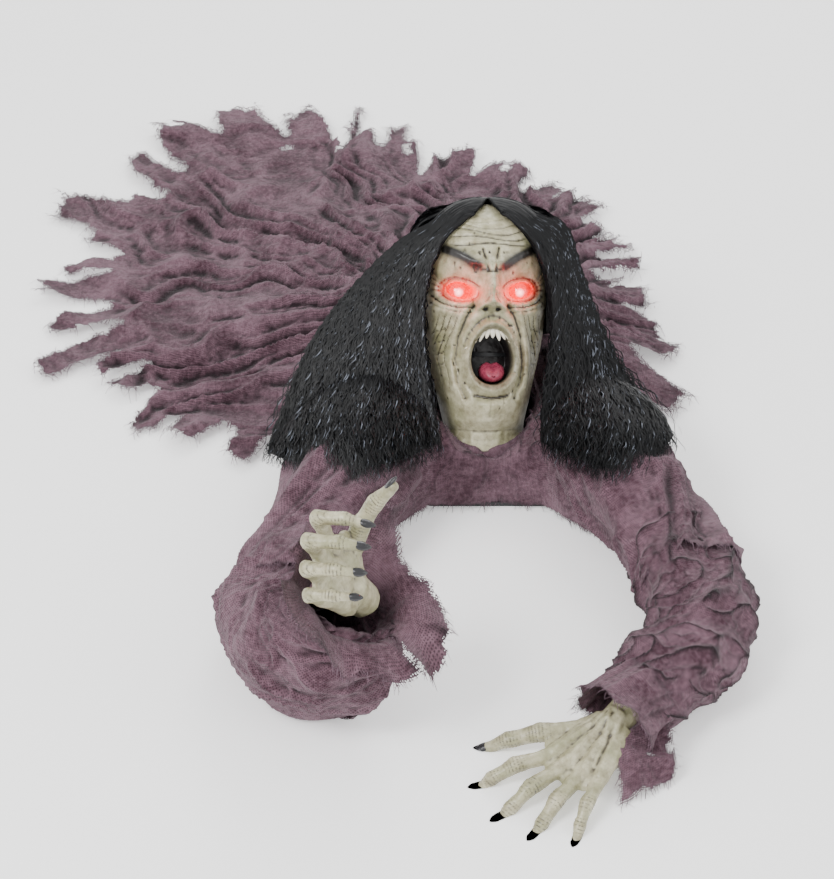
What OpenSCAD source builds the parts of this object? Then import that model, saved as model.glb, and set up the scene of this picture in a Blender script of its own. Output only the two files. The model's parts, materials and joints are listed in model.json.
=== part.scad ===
/* [Base] */
// Width of the base tray
tray_w = 150; // [130:1:180]
// Thickness of the base tray
tray_t = 6; // [5:0.5:8]
// Front edge of the tray, measured from the origin
tray_front = 112; // [100:1:125]
// Height of the electronics case above the tray
case_h = 44; // [40:1:48]
// Width of the electronics case
case_w = 130; // [110:1:140]
// Length of the electronics case
case_l = 110; // [100:1:120]
// Front wall of the case, measured from the origin
case_y = 95; // [90:1:110]
// Wall of the case
case_wall = 2.5; // [2:0.1:3.5]
// Diameter of one battery cell
cell_d = 14.5; // [14.2:0.1:14.5]
// Length of one battery cell
cell_l = 50.5; // [50:0.1:50.5]

/* [Head] */
// Lean of the head and neck back from upright, in degrees
head_lean = 39; // [36:0.5:42]
// Height of the neck joint above the floor
neck_z = 46; // [44:1:56]
// Distance of the neck joint in front of the origin
neck_front = 48; // [44:1:54]
// Radius of the top of the skull
skull_r = 80; // [74:1:84]
// Radius of the neck skin
neck_r = 50; // [47:1:53]
// Wall of the moulded head
skin_t = 3; // [2:0.5:4]
// Radius of the neck tube
neck_tube_r = 10; // [8:0.5:12]
// Radial clearance of running fits
run_gap = 0.05; // [0.02:0.01:0.1]
// Radius of an eye lens
eye_r = 15; // [13:0.5:17]
// Sideways distance of an eye from the middle of the face
eye_x = 35; // [32:0.5:37]

/* [Drive] */
// Gear module
gear_m = 1; // [0.8:0.1:1.2]
// Teeth of the full circle that the sector gear is cut from
sector_teeth = 48; // [48:1:48]
// Teeth of the pinion
pinion_teeth = 16; // [16:1:16]
// Thickness of the gears
gear_t = 5; // [4:0.5:6]

/* [Arms] */
// Sideways distance of a shoulder pin
shoulder_x = 120; // [112:1:130]
// Distance of the shoulder pins in front of the origin
shoulder_front = 90; // [84:1:96]
// Height of the yoke's underside
yoke_z = 28; // [26:1:29]
// Length from shoulder pin to elbow pin
upper_arm_l = 275; // [250:1:300]
// Length from elbow pin to wrist
forearm_l = 174; // [165:1:190]
// Height of the elbows above the floor
elbow_z = 52; // [50:1:58]
// Radius of an upper sleeve
sleeve_r = 50; // [46:1:50]
// Radius of a lower sleeve
cuff_sleeve_r = 40; // [36:1:42]
// Thickness of the cloth solids
cloth_t = 3; // [2:0.5:4]
// Radius of the arm rods
rod_r = 6; // [5:0.5:7]
// Radius of the shoulder and elbow pins
pin_r = 4; // [3:0.5:5]

/* [Skirt] */
// Half width of the skirt, without its strips
skirt_rx = 308; // [280:1:330]
// Half length of the skirt, without its strips
skirt_ry = 388; // [360:1:410]
// Number of ragged strips round the skirt
strips = 32; // [28:1:36]
// Length of a ragged strip
strip_l = 100; // [80:1:110]
// Height of the gathered middle of the skirt
skirt_h = 62; // [58:1:70]

/* [Hidden] */
$fn = 64;
gap = 0.5;
// heading of each upper arm away from straight ahead, and of each forearm back towards the middle
right_heading = 20;
left_heading = 22.5;
right_fore_heading = 35;
left_fore_heading = 32.5;
right_rise = 43.5;
left_rise = -2;
rod_z = yoke_z + 30;
shoulder_ball = 60;
eye_l = 169;
face_turn = 6;
case_top = tray_t + case_h;
neck = [-4, -neck_front, neck_z];
skull_c = [0, 15, 190];
gear_c = gear_m * (sector_teeth + pinion_teeth) / 2;
gear_z = -28;
strip_seed = 7;
skin = [0.72, 0.7, 0.58];
robe = [0.4, 0.28, 0.33];
hair = [0.12, 0.12, 0.13];
black = [0.1, 0.1, 0.11];
steel = [0.7, 0.71, 0.73];

function ahead(h, rise = 0) = [sin(h) * cos(rise), -cos(h) * cos(rise), sin(rise)];
function arm_drop() = -asin((rod_z - elbow_z) / upper_arm_l);
function elbow_of(s, h) = [s * shoulder_x, -shoulder_front, rod_z] + upper_arm_l * ahead(s * h, arm_drop());
right_shoulder = [-shoulder_x, -shoulder_front, rod_z];
left_shoulder = [shoulder_x, -shoulder_front, rod_z];
right_elbow = elbow_of(-1, right_heading);
left_elbow = elbow_of(1, left_heading);
right_wrist = right_elbow + forearm_l * ahead(right_fore_heading, right_rise);
left_wrist = left_elbow + forearm_l * ahead(-left_fore_heading, left_rise);

// ---------- helpers ----------

// a frame whose Z runs up the leaning neck
module at_neck() {
    translate(neck) rotate([-head_lean, 0, 0]) children();
}

// the same frame turned with the face, which looks a little to one side
module at_face() {
    at_neck() rotate([0, 0, face_turn]) children();
}

// a frame at point p whose Z runs towards point q
module along(p, q) {
    d = q - p;
    flat = sqrt(d.x * d.x + d.y * d.y);
    translate(p) rotate([0, atan2(flat, d.z), atan2(d.y, d.x)]) children();
}

module rod(p, q, r) {
    along(p, q) cylinder(h = norm(q - p), r = r);
}

module tube(h, r, wall) {
    difference() {
        cylinder(h = h, r = r);
        translate([0, 0, -1]) cylinder(h = h + 2, r = r - wall);
    }
}

module round_plate(w, l, h, r) {
    linear_extrude(h) union() {
        translate([r - w / 2, 0]) square([w - 2 * r, l]);
        translate([-w / 2, r]) square([w, l - 2 * r]);
        for (x = [r - w / 2, w / 2 - r]) for (y = [r, l - r]) translate([x, y]) circle(r);
    }
}

// gear outline with straight-sided teeth, one tooth centred on the X axis
module gear_outline(teeth, first, last) {
    r = gear_m * teeth / 2;
    root = r - 1.2 * gear_m;
    tip = r + 0.85 * gear_m;
    pitch = 360 / teeth;
    union() {
        circle(root);
        for (i = [first:last]) rotate(i * pitch)
            polygon([[root - 1, -0.84 * gear_m], [root, -0.84 * gear_m], [r, -0.66 * gear_m],
                [tip, -0.3 * gear_m], [tip, 0.3 * gear_m], [r, 0.66 * gear_m],
                [root, 0.84 * gear_m], [root - 1, 0.84 * gear_m]]);
    }
}

// ---------- base and electronics ----------

door_w = 64;
door_l = 74;
door_y = 107;
tray_l = tray_front + case_y + case_l + 8;
cell_y = door_y + 5;
cell_z = tray_t + cell_d / 2 + 1;
cell_pitch = cell_d + 1;

module base_tray() {
    color(black) difference() {
        translate([0, -tray_front, 0]) round_plate(tray_w, tray_l, tray_t, 12);
        // channel that the battery door slides in, open at the back edge
        translate([-door_w / 2, door_y - gap, 1.4]) cube([door_w, tray_l, tray_t - 3]);
        translate([3 - door_w / 2, door_y - gap, -1]) cube([door_w - 6, tray_l, 4]);
        // window under the battery cells
        translate([4 - door_w / 2, door_y + 3, 0]) cube([door_w - 8, door_l - 12, tray_t + 1]);
    }
}

module battery_door() {
    color(black) union() {
        translate([gap - door_w / 2, door_y, 1.8]) cube([door_w - 2 * gap, door_l, tray_t - 3.8]);
        translate([3 + gap - door_w / 2, door_y, 0.6]) cube([door_w - 6 - 2 * gap, door_l, 1.4]);
        for (i = [0:3]) translate([-12, door_y + door_l - 12 + 2.4 * i, 0.2]) cube([24, 1, 1]);
    }
}

module battery_cells() {
    color("tan") for (i = [-1:1]) translate([i * cell_pitch, cell_y, cell_z]) rotate([-90, 0, 0]) union() {
        cylinder(h = cell_l - 1, r = cell_d / 2);
        cylinder(h = cell_l, r = 2.7);
    }
}

module battery_contacts() {
    color(steel) for (i = [-1:1]) for (y = [cell_y - 0.8, cell_y + cell_l])
        translate([i * cell_pitch - 5, y, tray_t]) cube([10, 0.8, cell_d]);
}

module electronics_case() {
    color(black) difference() {
        translate([0, case_y, tray_t]) round_plate(case_w, case_l, case_h - case_wall, 8);
        translate([0, case_y + case_wall, tray_t - 1])
            round_plate(case_w - 2 * case_wall, case_l - 2 * case_wall, case_h, 6);
        // slots for the switch and the button, and the lead's hole
        translate([-case_w / 2 - 1, case_y + 30, tray_t + 20]) cube([case_wall + 2, 12, 6]);
        translate([case_w / 2 - case_wall - 1, case_y + 34, tray_t + 23]) rotate([0, 90, 0])
            cylinder(h = case_wall + 2, r = 5 + gap);
        translate([20, case_y - 1, lead_floor + 4]) rotate([-90, 0, 0]) cylinder(h = case_wall + 2, r = 2.5);
    }
}

board_z = cell_z + cell_d / 2 + 6;
board_x = 9 - case_w / 2;
speaker_r = case_w / 4 - 6.5;
speaker_x = 8 + speaker_r;

module circuit_board() {
    color("darkgreen") union() {
        translate([board_x, case_y + 20, board_z]) cube([2 - board_x, 70, 1.6]);
        translate([board_x + 16, case_y + 40, board_z + 1.6]) cube([16, 12, 2]);
        translate([-14, case_y + 60, board_z + 1.6]) cylinder(h = 8, r = 4);
        translate([board_x + 8, case_y + 74, board_z + 1.6]) cylinder(h = 8, r = 3);
        for (x = [board_x + 4, -29]) for (y = [26, 84]) translate([x, case_y + y, tray_t])
            cylinder(h = board_z - tray_t, r = 2.4);
    }
}

module speaker() {
    z = case_top - case_wall - 17;
    color("gray") translate([speaker_x, case_y + case_l / 2, z]) union() {
        cylinder(h = 7, r = 11);
        translate([0, 0, 7]) cylinder(h = 8, r1 = 11, r2 = speaker_r - 1);
        translate([0, 0, 15]) tube(2, speaker_r, 4);
    }
}

module case_lid() {
    color(black) difference() {
        translate([0, case_y, case_top - case_wall]) round_plate(case_w, case_l, case_wall, 8);
        for (i = [-3:3]) translate([speaker_x + i * 6 - 1.2, case_y + case_l / 2 - 18, 0]) cube([2.4, 36, 90]);
        for (x = [-1, 1]) for (y = [10, case_l - 10])
            translate([x * (case_w / 2 - 10), case_y + y, 0]) cylinder(h = 90, r = 1.6);
    }
}

module case_screws() {
    color(steel) for (x = [-1, 1]) for (y = [10, case_l - 10])
        translate([x * (case_w / 2 - 10), case_y + y, case_top]) union() {
            cylinder(h = 1.8, r = 3);
            translate([0, 0, -10]) cylinder(h = 10, r = 1.5);
        }
}

module power_switch() {
    color("dimgray") translate([-case_w / 2 - 1.5, case_y + 31, tray_t + 21]) union() {
        cube([case_wall + 3, 6, 4]);
        translate([case_wall + 2.2, -2, -1.5]) cube([1.5, 10, 7]);
    }
}

module try_button() {
    color("firebrick") translate([case_w / 2 - case_wall - 4, case_y + 34, tray_t + 23])
        rotate([0, 90, 0]) union() {
            cylinder(h = case_wall + 7, r = 5);
            cylinder(h = 2, r = 7);
        }
}

module sensor_holder() {
    color(black) translate([48, 8 - tray_front, tray_t]) difference() {
        translate([-8, 0, 0]) cube([16, 8, 20]);
        translate([0, -1, 11]) rotate([-90, 0, 0]) cylinder(h = 12, r = 5);
    }
}

module sound_sensor() {
    color("silver") translate([48, 7 - tray_front, tray_t + 11]) rotate([-90, 0, 0]) cylinder(h = 8, r = 4.9);
}

// ---------- neck and drive ----------

bush_r = 16;
bush_h = 36;
bush_low = -20;
plate_t = 4;

module neck_bracket() {
    leg_x = 46;
    color(steel) difference() {
        union() {
            at_neck() translate([-leg_x - 4, -14, bush_low]) cube([2 * leg_x + 8, 28, plate_t]);
            // two legs down to the tray
            for (x = [-1, 1]) translate([neck.x + x * leg_x - 3, neck.y - 18, tray_t])
                cube([6, 13, neck_z - 15 - tray_t]);
            for (x = [-1, 1]) translate([neck.x + x * leg_x - 7, neck.y - 24, tray_t]) cube([14, 30, 3]);
        }
        at_neck() translate([0, 0, bush_low - 6]) cylinder(h = 20, r = bush_r - 4);
        at_neck() translate([gear_c, 0, bush_low - 1]) cylinder(h = plate_t + 2, r = 3);
    }
}

module neck_bush() {
    color("ivory") at_neck() difference() {
        translate([0, 0, bush_low + plate_t]) cylinder(h = bush_h - plate_t, r = bush_r);
        translate([0, 0, bush_low - 1]) cylinder(h = bush_h + 2, r = neck_tube_r + run_gap);
    }
}

module gear_motor() {
    color("gray") at_neck() translate([gear_c, 0, bush_low + plate_t]) difference() {
        cylinder(h = 26, r = 11);
        translate([0, 0, -1]) cylinder(h = 16, r = 2 + run_gap);
    }
}

module drive_pinion() {
    color("ivory") at_neck() translate([gear_c, 0, 0]) union() {
        translate([0, 0, gear_z - 0.5]) rotate(180 / pinion_teeth)
            linear_extrude(gear_t + 1) gear_outline(pinion_teeth, 0, pinion_teeth - 1);
        translate([0, 0, gear_z]) cylinder(h = bush_low + plate_t + 14 - gear_z, r = 2);
    }
}

module sector_gear() {
    color("ivory") at_neck() translate([0, 0, gear_z]) difference() {
        linear_extrude(gear_t) difference() {
            gear_outline(sector_teeth, -4, 4);
            // only the part that meets the pinion keeps its full radius
            difference() {
                circle(gear_m * sector_teeth);
                circle(neck_tube_r + 5);
                polygon([[0, 0], [60, -40], [60, 40]]);
            }
        }
        translate([0, 0, -1]) cylinder(h = gear_t + 2, r = neck_tube_r);
    }
}

plate_l = 96;

module neck_tube() {
    color(steel) at_neck() translate([0, 0, gear_z]) tube(plate_l - gear_z, neck_tube_r, 2);
}

module head_plate() {
    color(black) at_neck() translate([0, 0, plate_l - 4]) union() {
        difference() {
            translate([0, 0, 4]) union() {
                cylinder(h = 4, r = 34);
                translate([-48, -8, 0]) cube([96, 16, 4]);
            }
            translate([0, 0, -1]) cylinder(h = 12, r = 4);
        }
    }
}

// ---------- head ----------

jaw_c = [0, -22, 66];
chin_c = [0, -43, 51];

// outline of the head without its features; inset makes the inner wall
module head_form(inset = 0) {
    union() {
        hull() {
            translate(skull_c) sphere(r = skull_r - inset, $fn = 36);
            translate(jaw_c) sphere(r = 50 - inset, $fn = 30);
            translate(chin_c) sphere(r = 29 - inset, $fn = 24);
        }
        translate([0, 0, -30]) cylinder(h = 92 - inset, r = neck_r - inset);
    }
}

mouth_c = [0, -70, 94];

module mouth_hole(inset = 0) {
    translate(mouth_c) rotate([90, 0, 0]) union() {
        translate([0, -8, -26]) cylinder(h = 60, r = 23 - inset);
        translate([0, 9, -26]) cylinder(h = 60, r = 21 - inset);
    }
}

split_y = 10;

// scooped lower edge of the neck skin
module neck_scoop() {
    translate([-100, 2, -40]) cube([200, 200, 62]);
    translate([-100, -200, -40]) cube([200, 400, 26]);
}

module face_features() {
    translate([0, -82, 136]) sphere(r = 12);
    rod([0, -70, 182], [0, -83, 138], 8);
    for (x = [-1, 1]) rod([x * 12, -66, 206], [x * 48, -52, 214], 7);
}

module face_shell() {
    color(skin) difference() {
        union() {
            at_neck() head_form();
            at_face() face_features();
        }
        at_neck() head_form(skin_t);
        at_face() mouth_hole();
        at_face() for (x = [-1, 1]) translate([x * eye_x, -100, eye_l]) rotate([-90, 0, 0])
            cylinder(h = 60, r = eye_r + gap);
        at_neck() translate([-150, split_y, 22]) cube([300, 300, 300]);
        at_neck() neck_scoop();
    }
}

module skull_shell() {
    color(skin) at_neck() difference() {
        head_form();
        head_form(skin_t);
        translate([-150, split_y - 300, -50]) cube([300, 300, 400]);
        translate([-150, -200, -50]) cube([300, 400, 72]);
    }
}

module mouth_lining() {
    color([0.12, 0.05, 0.05]) at_face() difference() {
        mouth_hole(gap);
        mouth_hole(2.5);
        translate([-50, -150, 0]) cube([100, 85, 200]);
    }
    color([0.12, 0.05, 0.05]) at_face() intersection() {
        mouth_hole(gap);
        translate([-50, -46.5, 0]) cube([100, 2.5, 200]);
    }
}

module upper_teeth() {
    color("ivory") at_face() for (i = [-3:3])
        translate(mouth_c + [0, 5, 9]) rotate([0, 17 * i, 0]) translate([-2, 0, 12.2]) cube([4, 3, 6]);
}

module tongue() {
    color([0.5, 0.2, 0.26]) at_face() translate([0, -54, 72.7]) union() {
        translate([0, -3, 0]) sphere(r = 7);
        rod([0, -3, 0], [0, 5, 2], 6.9);
    }
}

module eye_lens(x) {
    color("red") at_face() translate([x, -46.5, eye_l]) rotate([90, 0, 0]) difference() {
        intersection() {
            sphere(r = eye_r);
            translate([-20, -20, 1]) cube([40, 40, 20]);
        }
        sphere(r = eye_r - 1.6);
    }
}

module eye_light(x) {
    color("white") at_face() translate([x, -40, eye_l]) rotate([90, 0, 0]) union() {
        cylinder(h = 1.6, r = 9);
        translate([0, 0, 1.6]) cylinder(h = 6, r = 2.5);
        translate([0, 0, 7.6]) sphere(r = 2.4);
    }
}

module right_eye_lens() { eye_lens(-eye_x); }
module left_eye_lens() { eye_lens(eye_x); }
module right_eye_light() { eye_light(-eye_x); }
module left_eye_light() { eye_light(eye_x); }

cap_t = 3;
cap_lean = 34;
cap_reach = 84;

// cap over the crown and back of the skull that the hair is sewn to
module wig_cap() {
    color(hair) at_neck() translate(skull_c) rotate([-cap_lean, 0, 0]) rotate_extrude() intersection() {
        difference() {
            circle(skull_r + gap + cap_t);
            circle(skull_r + gap);
        }
        polygon([[0, 0], [0, 2 * skull_r], [2 * skull_r, 2 * skull_r], [2 * skull_r, 2 * skull_r * cos(cap_reach)]]);
    }
}

// space that the head keeps free while it turns
module head_room(extra = 0) {
    at_neck() union() {
        translate([0, 0, -17]) cylinder(h = 50, r = neck_r + 3 + extra);
        translate([0, 0, 20]) cylinder(h = 90, r1 = 74 + extra, r2 = 96 + extra);
        translate([0, 0, 109]) cylinder(h = 200, r = 98 + extra);
    }
}

hair_gap = 4;

module hair_side(s, x_out, y_out) {
    color(hair) difference() {
        hull() {
            at_neck() translate([s * 70, 22, 205]) sphere(r = 26, $fn = 24);
            translate([s * x_out, y_out, 128]) sphere(r = 40, $fn = 24);
            translate([s * (shoulder_x - 12), -shoulder_front - 48, 86]) sphere(r = 38, $fn = 24);
            translate([s * 92, -30, 120]) sphere(r = 24, $fn = 24);
        }
        robe_form(-hair_gap);
        arm_room(-1, right_elbow, hair_gap);
        arm_room(1, left_elbow, hair_gap);
        head_clear();
        behind_ears(1);
    }
}

// the head itself, with a little room round it
module head_clear() {
    at_neck() union() {
        head_form(-2 * gap);
        translate(skull_c) sphere(r = skull_r + cap_t + 2 * gap);
        rotate([0, 0, face_turn]) for (x = [-1, 1]) rod([x * 12, -66, 206], [x * 48, -52, 214], 8);
    }
}

module hair_right() { hair_side(-1, 192, -66); }
module hair_left() { hair_side(1, 164, -68); }

module hair_back() {
    color(hair) difference() {
        hull() {
            at_neck() translate([0, 34, 215]) sphere(r = 66, $fn = 32);
            translate([-20, 150, 150]) sphere(r = 46, $fn = 24);
            translate([-70, 160, 125]) sphere(r = 30, $fn = 24);
            translate([70, 160, 125]) sphere(r = 30, $fn = 24);
        }
        robe_form(-hair_gap);
        at_neck() hull() {
            translate(skull_c) sphere(r = skull_r + cap_t + 3 * gap, $fn = 40);
            translate(jaw_c) sphere(r = 48, $fn = 24);
        }
        behind_ears(-1);
    }
}

hair_split = 28;

// the part of space behind the side locks; side 1 is behind, side -1 is in front
module behind_ears(side) {
    at_neck() translate([-300, side > 0 ? hair_split + gap : hair_split - 500, -100]) cube([600, 500, 500]);
}

// ---------- frame of the arms ----------

yoke_t = 5;
eye_h = 14;

module shoulder_yoke() {
    color(steel) difference() {
        union() {
            translate([-shoulder_x - 12, -shoulder_front - 12, yoke_z]) cube([2 * shoulder_x + 24, 24, yoke_t]);
            for (x = [-1, 1]) translate([x * 68, -shoulder_front, tray_t]) union() {
                cylinder(h = yoke_z - tray_t, r = 5);
                translate([-12, -9, 0]) cube([18, 18, 3]);
            }
        }
        for (x = [-1, 1]) translate([x * shoulder_x, -shoulder_front, yoke_z - 1]) cylinder(h = 10, r = pin_r);
    }
}

module shoulder_pin(x) {
    color(steel) translate([x, -shoulder_front, yoke_z]) union() {
        cylinder(h = rod_z + eye_h / 2 + gap - yoke_z, r = pin_r);
        translate([0, 0, yoke_t]) cylinder(h = rod_z - eye_h / 2 - gap - yoke_z - yoke_t, r = pin_r + 5);
        translate([0, 0, rod_z + eye_h / 2 + gap - yoke_z]) cylinder(h = 3, r = pin_r + 5);
    }
}

module right_shoulder_pin() { shoulder_pin(-shoulder_x); }
module left_shoulder_pin() { shoulder_pin(shoulder_x); }

// unit vector from p to q
function toward(p, q) = (q - p) / norm(q - p);

// the elbow pin stands square to both rods
function elbow_axis(shoulder, elbow, wrist) =
    let (c = cross(toward(shoulder, elbow), toward(elbow, wrist))) c / norm(c);

// a frame at an elbow whose Z is the pin's axis
module at_elbow(shoulder, elbow, wrist) {
    along(elbow, elbow + elbow_axis(shoulder, elbow, wrist)) children();
}

ear_t = 5;
ear_r = pin_r + 6;

module upper_rod(shoulder, elbow, wrist) {
    color(steel) difference() {
        union() {
            rod(shoulder, elbow, rod_r);
            translate(shoulder - [0, 0, eye_h / 2]) cylinder(h = eye_h, r = ear_r);
            at_elbow(shoulder, elbow, wrist) translate([0, 0, -eye_h / 2]) cylinder(h = eye_h, r = ear_r);
        }
        translate(shoulder - [0, 0, eye_h]) cylinder(h = 2 * eye_h, r = pin_r + run_gap);
        at_elbow(shoulder, elbow, wrist) translate([0, 0, -eye_h]) cylinder(h = 2 * eye_h, r = pin_r + run_gap);
    }
}

module right_upper_rod() { upper_rod(right_shoulder, right_elbow, right_wrist); }
module left_upper_rod() { upper_rod(left_shoulder, left_elbow, left_wrist); }

module elbow_pin(shoulder, elbow, wrist) {
    reach = eye_h / 2 + gap + ear_t;
    color(steel) at_elbow(shoulder, elbow, wrist) union() {
        translate([0, 0, -reach]) cylinder(h = 2 * reach, r = pin_r);
        for (z = [-reach - 2, reach]) translate([0, 0, z]) cylinder(h = 2, r = pin_r + 2);
    }
}

module right_elbow_pin() { elbow_pin(right_shoulder, right_elbow, right_wrist); }
module left_elbow_pin() { elbow_pin(left_shoulder, left_elbow, left_wrist); }

fork_out = 30;

// Z towards the wrist and X along the elbow pin
module fork_frame(shoulder, elbow, wrist) {
    x = elbow_axis(shoulder, elbow, wrist);
    z = toward(elbow, wrist);
    y = cross(z, x);
    multmatrix([[x.x, y.x, z.x, elbow.x], [x.y, y.y, z.y, elbow.y], [x.z, y.z, z.z, elbow.z], [0, 0, 0, 1]])
        children();
}

module fore_rod(shoulder, elbow, wrist) {
    d = toward(elbow, wrist);
    inner = eye_h / 2 + gap;
    color(steel) difference() {
        union() {
            at_elbow(shoulder, elbow, wrist) for (z = [-inner - ear_t, inner]) translate([0, 0, z])
                cylinder(h = ear_t, r = ear_r);
            // cheeks of the fork run out to the bridge that carries the rod
            fork_frame(shoulder, elbow, wrist) union() {
                for (s = [-inner - ear_t, inner]) translate([s + 0.3, -6, 0]) cube([ear_t - 0.6, 12, fork_out]);
                translate([-inner - ear_t + 0.3, -5.5, fork_out - 6]) cube([2 * (inner + ear_t) - 0.6, 11, 8]);
            }
            rod(elbow + fork_out * d, wrist + 12 * d, rod_r);
            rod(wrist - 10 * d, wrist - 4 * d, rod_r + 6);
        }
        at_elbow(shoulder, elbow, wrist) translate([0, 0, -30]) cylinder(h = 60, r = pin_r);
    }
}

module right_fore_rod() { fore_rod(right_shoulder, right_elbow, right_wrist); }
module left_fore_rod() { fore_rod(left_shoulder, left_elbow, left_wrist); }

module shoulder_pad(x) {
    color("linen") translate([x, -shoulder_front, rod_z + eye_h / 2 + gap + 3]) union() {
        cylinder(h = 22, r = 42);
        translate([0, 0, 22]) cylinder(h = 20, r1 = 42, r2 = 26);
    }
}

module right_shoulder_pad() { shoulder_pad(-shoulder_x); }
module left_shoulder_pad() { shoulder_pad(shoulder_x); }

// ---------- cloth ----------

// closed outer form of the robe's body; inset is measured inwards
module robe_form(inset = 0) {
    difference() {
        hull() {
            for (x = [-1, 1]) translate([x * shoulder_x, -shoulder_front, rod_z + 8])
                sphere(r = shoulder_ball - inset, $fn = 36);
            for (x = [-1, 1]) translate([x * 84, 130, 46]) sphere(r = 46 - inset, $fn = 28);
            for (x = [-1, 1]) translate([x * 82, 196, 0]) cylinder(h = 50 - inset, r = 34 - inset, $fn = 28);
            for (x = [-1, 1]) translate([x * 96, -shoulder_front - 20, 0])
                cylinder(h = 24 - inset, r = 24 - inset, $fn = 28);
        }
        translate([-400, -400, -100]) cube([800, 800, 101]);
    }
}

arm_swing = 12;
swing_room = 3 + sleeve_r * sin(arm_swing);

// space that an upper sleeve keeps free while the shoulder swings
module arm_room(s, elbow, extra = 0) {
    shoulder = [s * shoulder_x, -shoulder_front, rod_z];
    d = (elbow - shoulder) / norm(elbow - shoulder);
    along(shoulder + (sleeve_start - swing_room) * d, elbow)
        cylinder(h = upper_arm_l, r1 = sleeve_r + 18 + extra, r2 = sleeve_r + 90 + extra);
}

sleeve_start = 66;

module robe_body() {
    color(robe) difference() {
        robe_form();
        robe_form(cloth_t);
        head_room();
        arm_room(-1, right_elbow);
        arm_room(1, left_elbow);
        // rods leave through the shoulder openings
        rod(right_shoulder, right_elbow, 36);
        rod(left_shoulder, left_elbow, 36);
    }
}

module robe_collar() {
    color(robe) at_neck() difference() {
        translate([0, 0, 4]) cylinder(h = 14, r = neck_r + 9);
        translate([0, 0, -20]) cylinder(h = 60, r = neck_r + 5);
        translate([-100, -12, -50]) cube([200, 200, 100]);
        translate([-9, -100, 10]) cube([12, 60, 60]);
    }
}

function wobble(i, k) = rands(0, 1, 200, strip_seed + k)[i];

skirt_c = [-144, 304];
skirt_turn = 30;
skirt_first = -56;
skirt_last = 224;

// a point on the skirt's oval rim, or out from it, at angle a
function rim(a, out) =
    let (x = (skirt_rx + out) * cos(a), y = (skirt_ry + out) * sin(a))
    [skirt_c.x + x * cos(skirt_turn) - y * sin(skirt_turn),
        skirt_c.y + x * sin(skirt_turn) + y * cos(skirt_turn)];

// points of one ragged strip, going round the rim
function strip_points(i) =
    let (step = (skirt_last - skirt_first) / strips,
        a = skirt_first + i * step,
        w = step * (0.62 + 0.2 * wobble(i, 1)),
        reach = strip_l * (0.5 + 0.5 * wobble(i, 2)),
        lean = 0.3 * step * (wobble(i, 3) - 0.5))
    [rim(a, -18 * wobble(i, 4)), rim(a + 0.1 * w + lean * 0.5, reach * 0.5),
        rim(a + 0.2 * w + lean, reach), rim(a + 0.8 * w + lean, reach * 0.94),
        rim(a + w + lean * 0.5, reach * 0.5), rim(a + w, -6)];

hem_t = 4;

skirt_seam = 6;
skirt_front = case_y + case_l + 8 + skirt_seam;

// cones that stand for the gathered folds of the skirt
module skirt_folds() {
    translate([-130, 330, 0]) union() {
        cylinder(h = 28, r1 = 250, r2 = 150);
        translate([0, 0, 27.5]) cylinder(h = skirt_h - 27.5, r1 = 150, r2 = 70);
    }
}

module skirt() {
    color(robe) difference() {
        union() {
            linear_extrude(hem_t) polygon([for (i = [0:strips - 1]) each strip_points(i)]);
            skirt_folds();
        }
        // the robe's body stands in front of the skirt
        translate([0, 0, -1]) linear_extrude(skirt_h + 20) polygon([[-300, -260], [300, -260], [300, -60],
            [shoulder_x + shoulder_ball + skirt_seam, -shoulder_front + 70], [124, skirt_front + 26],
            [-124, skirt_front + 26], [-shoulder_x - shoulder_ball - skirt_seam, -shoulder_front + 70],
            [-300, -60]]);
    }
}

module upper_sleeve(s, elbow) {
    shoulder = [s * shoulder_x, -shoulder_front, rod_z];
    d = (elbow - shoulder) / norm(elbow - shoulder);
    color(robe) along(shoulder + sleeve_start * d, elbow)
        tube(upper_arm_l - sleeve_start - elbow_cut, sleeve_r, cloth_t);
}

elbow_cut = 50;
elbow_ball = 44;

module right_upper_sleeve() { upper_sleeve(-1, right_elbow); }
module left_upper_sleeve() { upper_sleeve(1, left_elbow); }

module lower_sleeve(elbow, wrist) {
    l = norm(wrist - elbow);
    color(robe) difference() {
        union() {
            along(elbow, wrist) sphere(r = elbow_ball);
            along(elbow, wrist) cylinder(h = l - cuff_back, r = cuff_sleeve_r);
        }
        along(elbow, wrist) sphere(r = elbow_ball - cloth_t);
        along(elbow, wrist) cylinder(h = l, r = cuff_sleeve_r - cloth_t);
        // open towards the upper arm
        sleeve_mouth(elbow);
    }
}

module sleeve_mouth(elbow) {
    s = elbow.x < 0 ? -1 : 1;
    shoulder = [s * shoulder_x, -shoulder_front, rod_z];
    along(elbow, shoulder) translate([0, 0, 24]) cylinder(h = 60, r = elbow_ball + 2);
}

cuff_back = 34;

module right_lower_sleeve() { lower_sleeve(right_elbow, right_wrist); }
module left_lower_sleeve() { lower_sleeve(left_elbow, left_wrist); }

// flared, ragged end of a sleeve
module cuff(elbow, wrist, r_end, reach) {
    l = norm(wrist - elbow);
    color(robe) along(elbow, wrist) translate([0, 0, l - cuff_back + gap]) difference() {
        cylinder(h = reach, r1 = cuff_sleeve_r, r2 = r_end);
        translate([0, 0, -0.01]) cylinder(h = reach + 0.02, r1 = cuff_sleeve_r - cloth_t, r2 = r_end - cloth_t);
        for (a = [0:40:359]) rotate(a) translate([0, 0, reach]) rotate([0, 90, 0]) cylinder(h = 100, r = 9, $fn = 3);
    }
}

module right_cuff() { cuff(right_elbow, right_wrist, 56, 44); }
module left_cuff() { cuff(left_elbow, left_wrist, 40, 30); }

// ---------- swept limbs and leads ----------

function route_dir(route, i) =
    let (a = route[max(i - 1, 0)], b = route[min(i + 1, len(route) - 1)]) (b - a) / norm(b - a);

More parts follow.
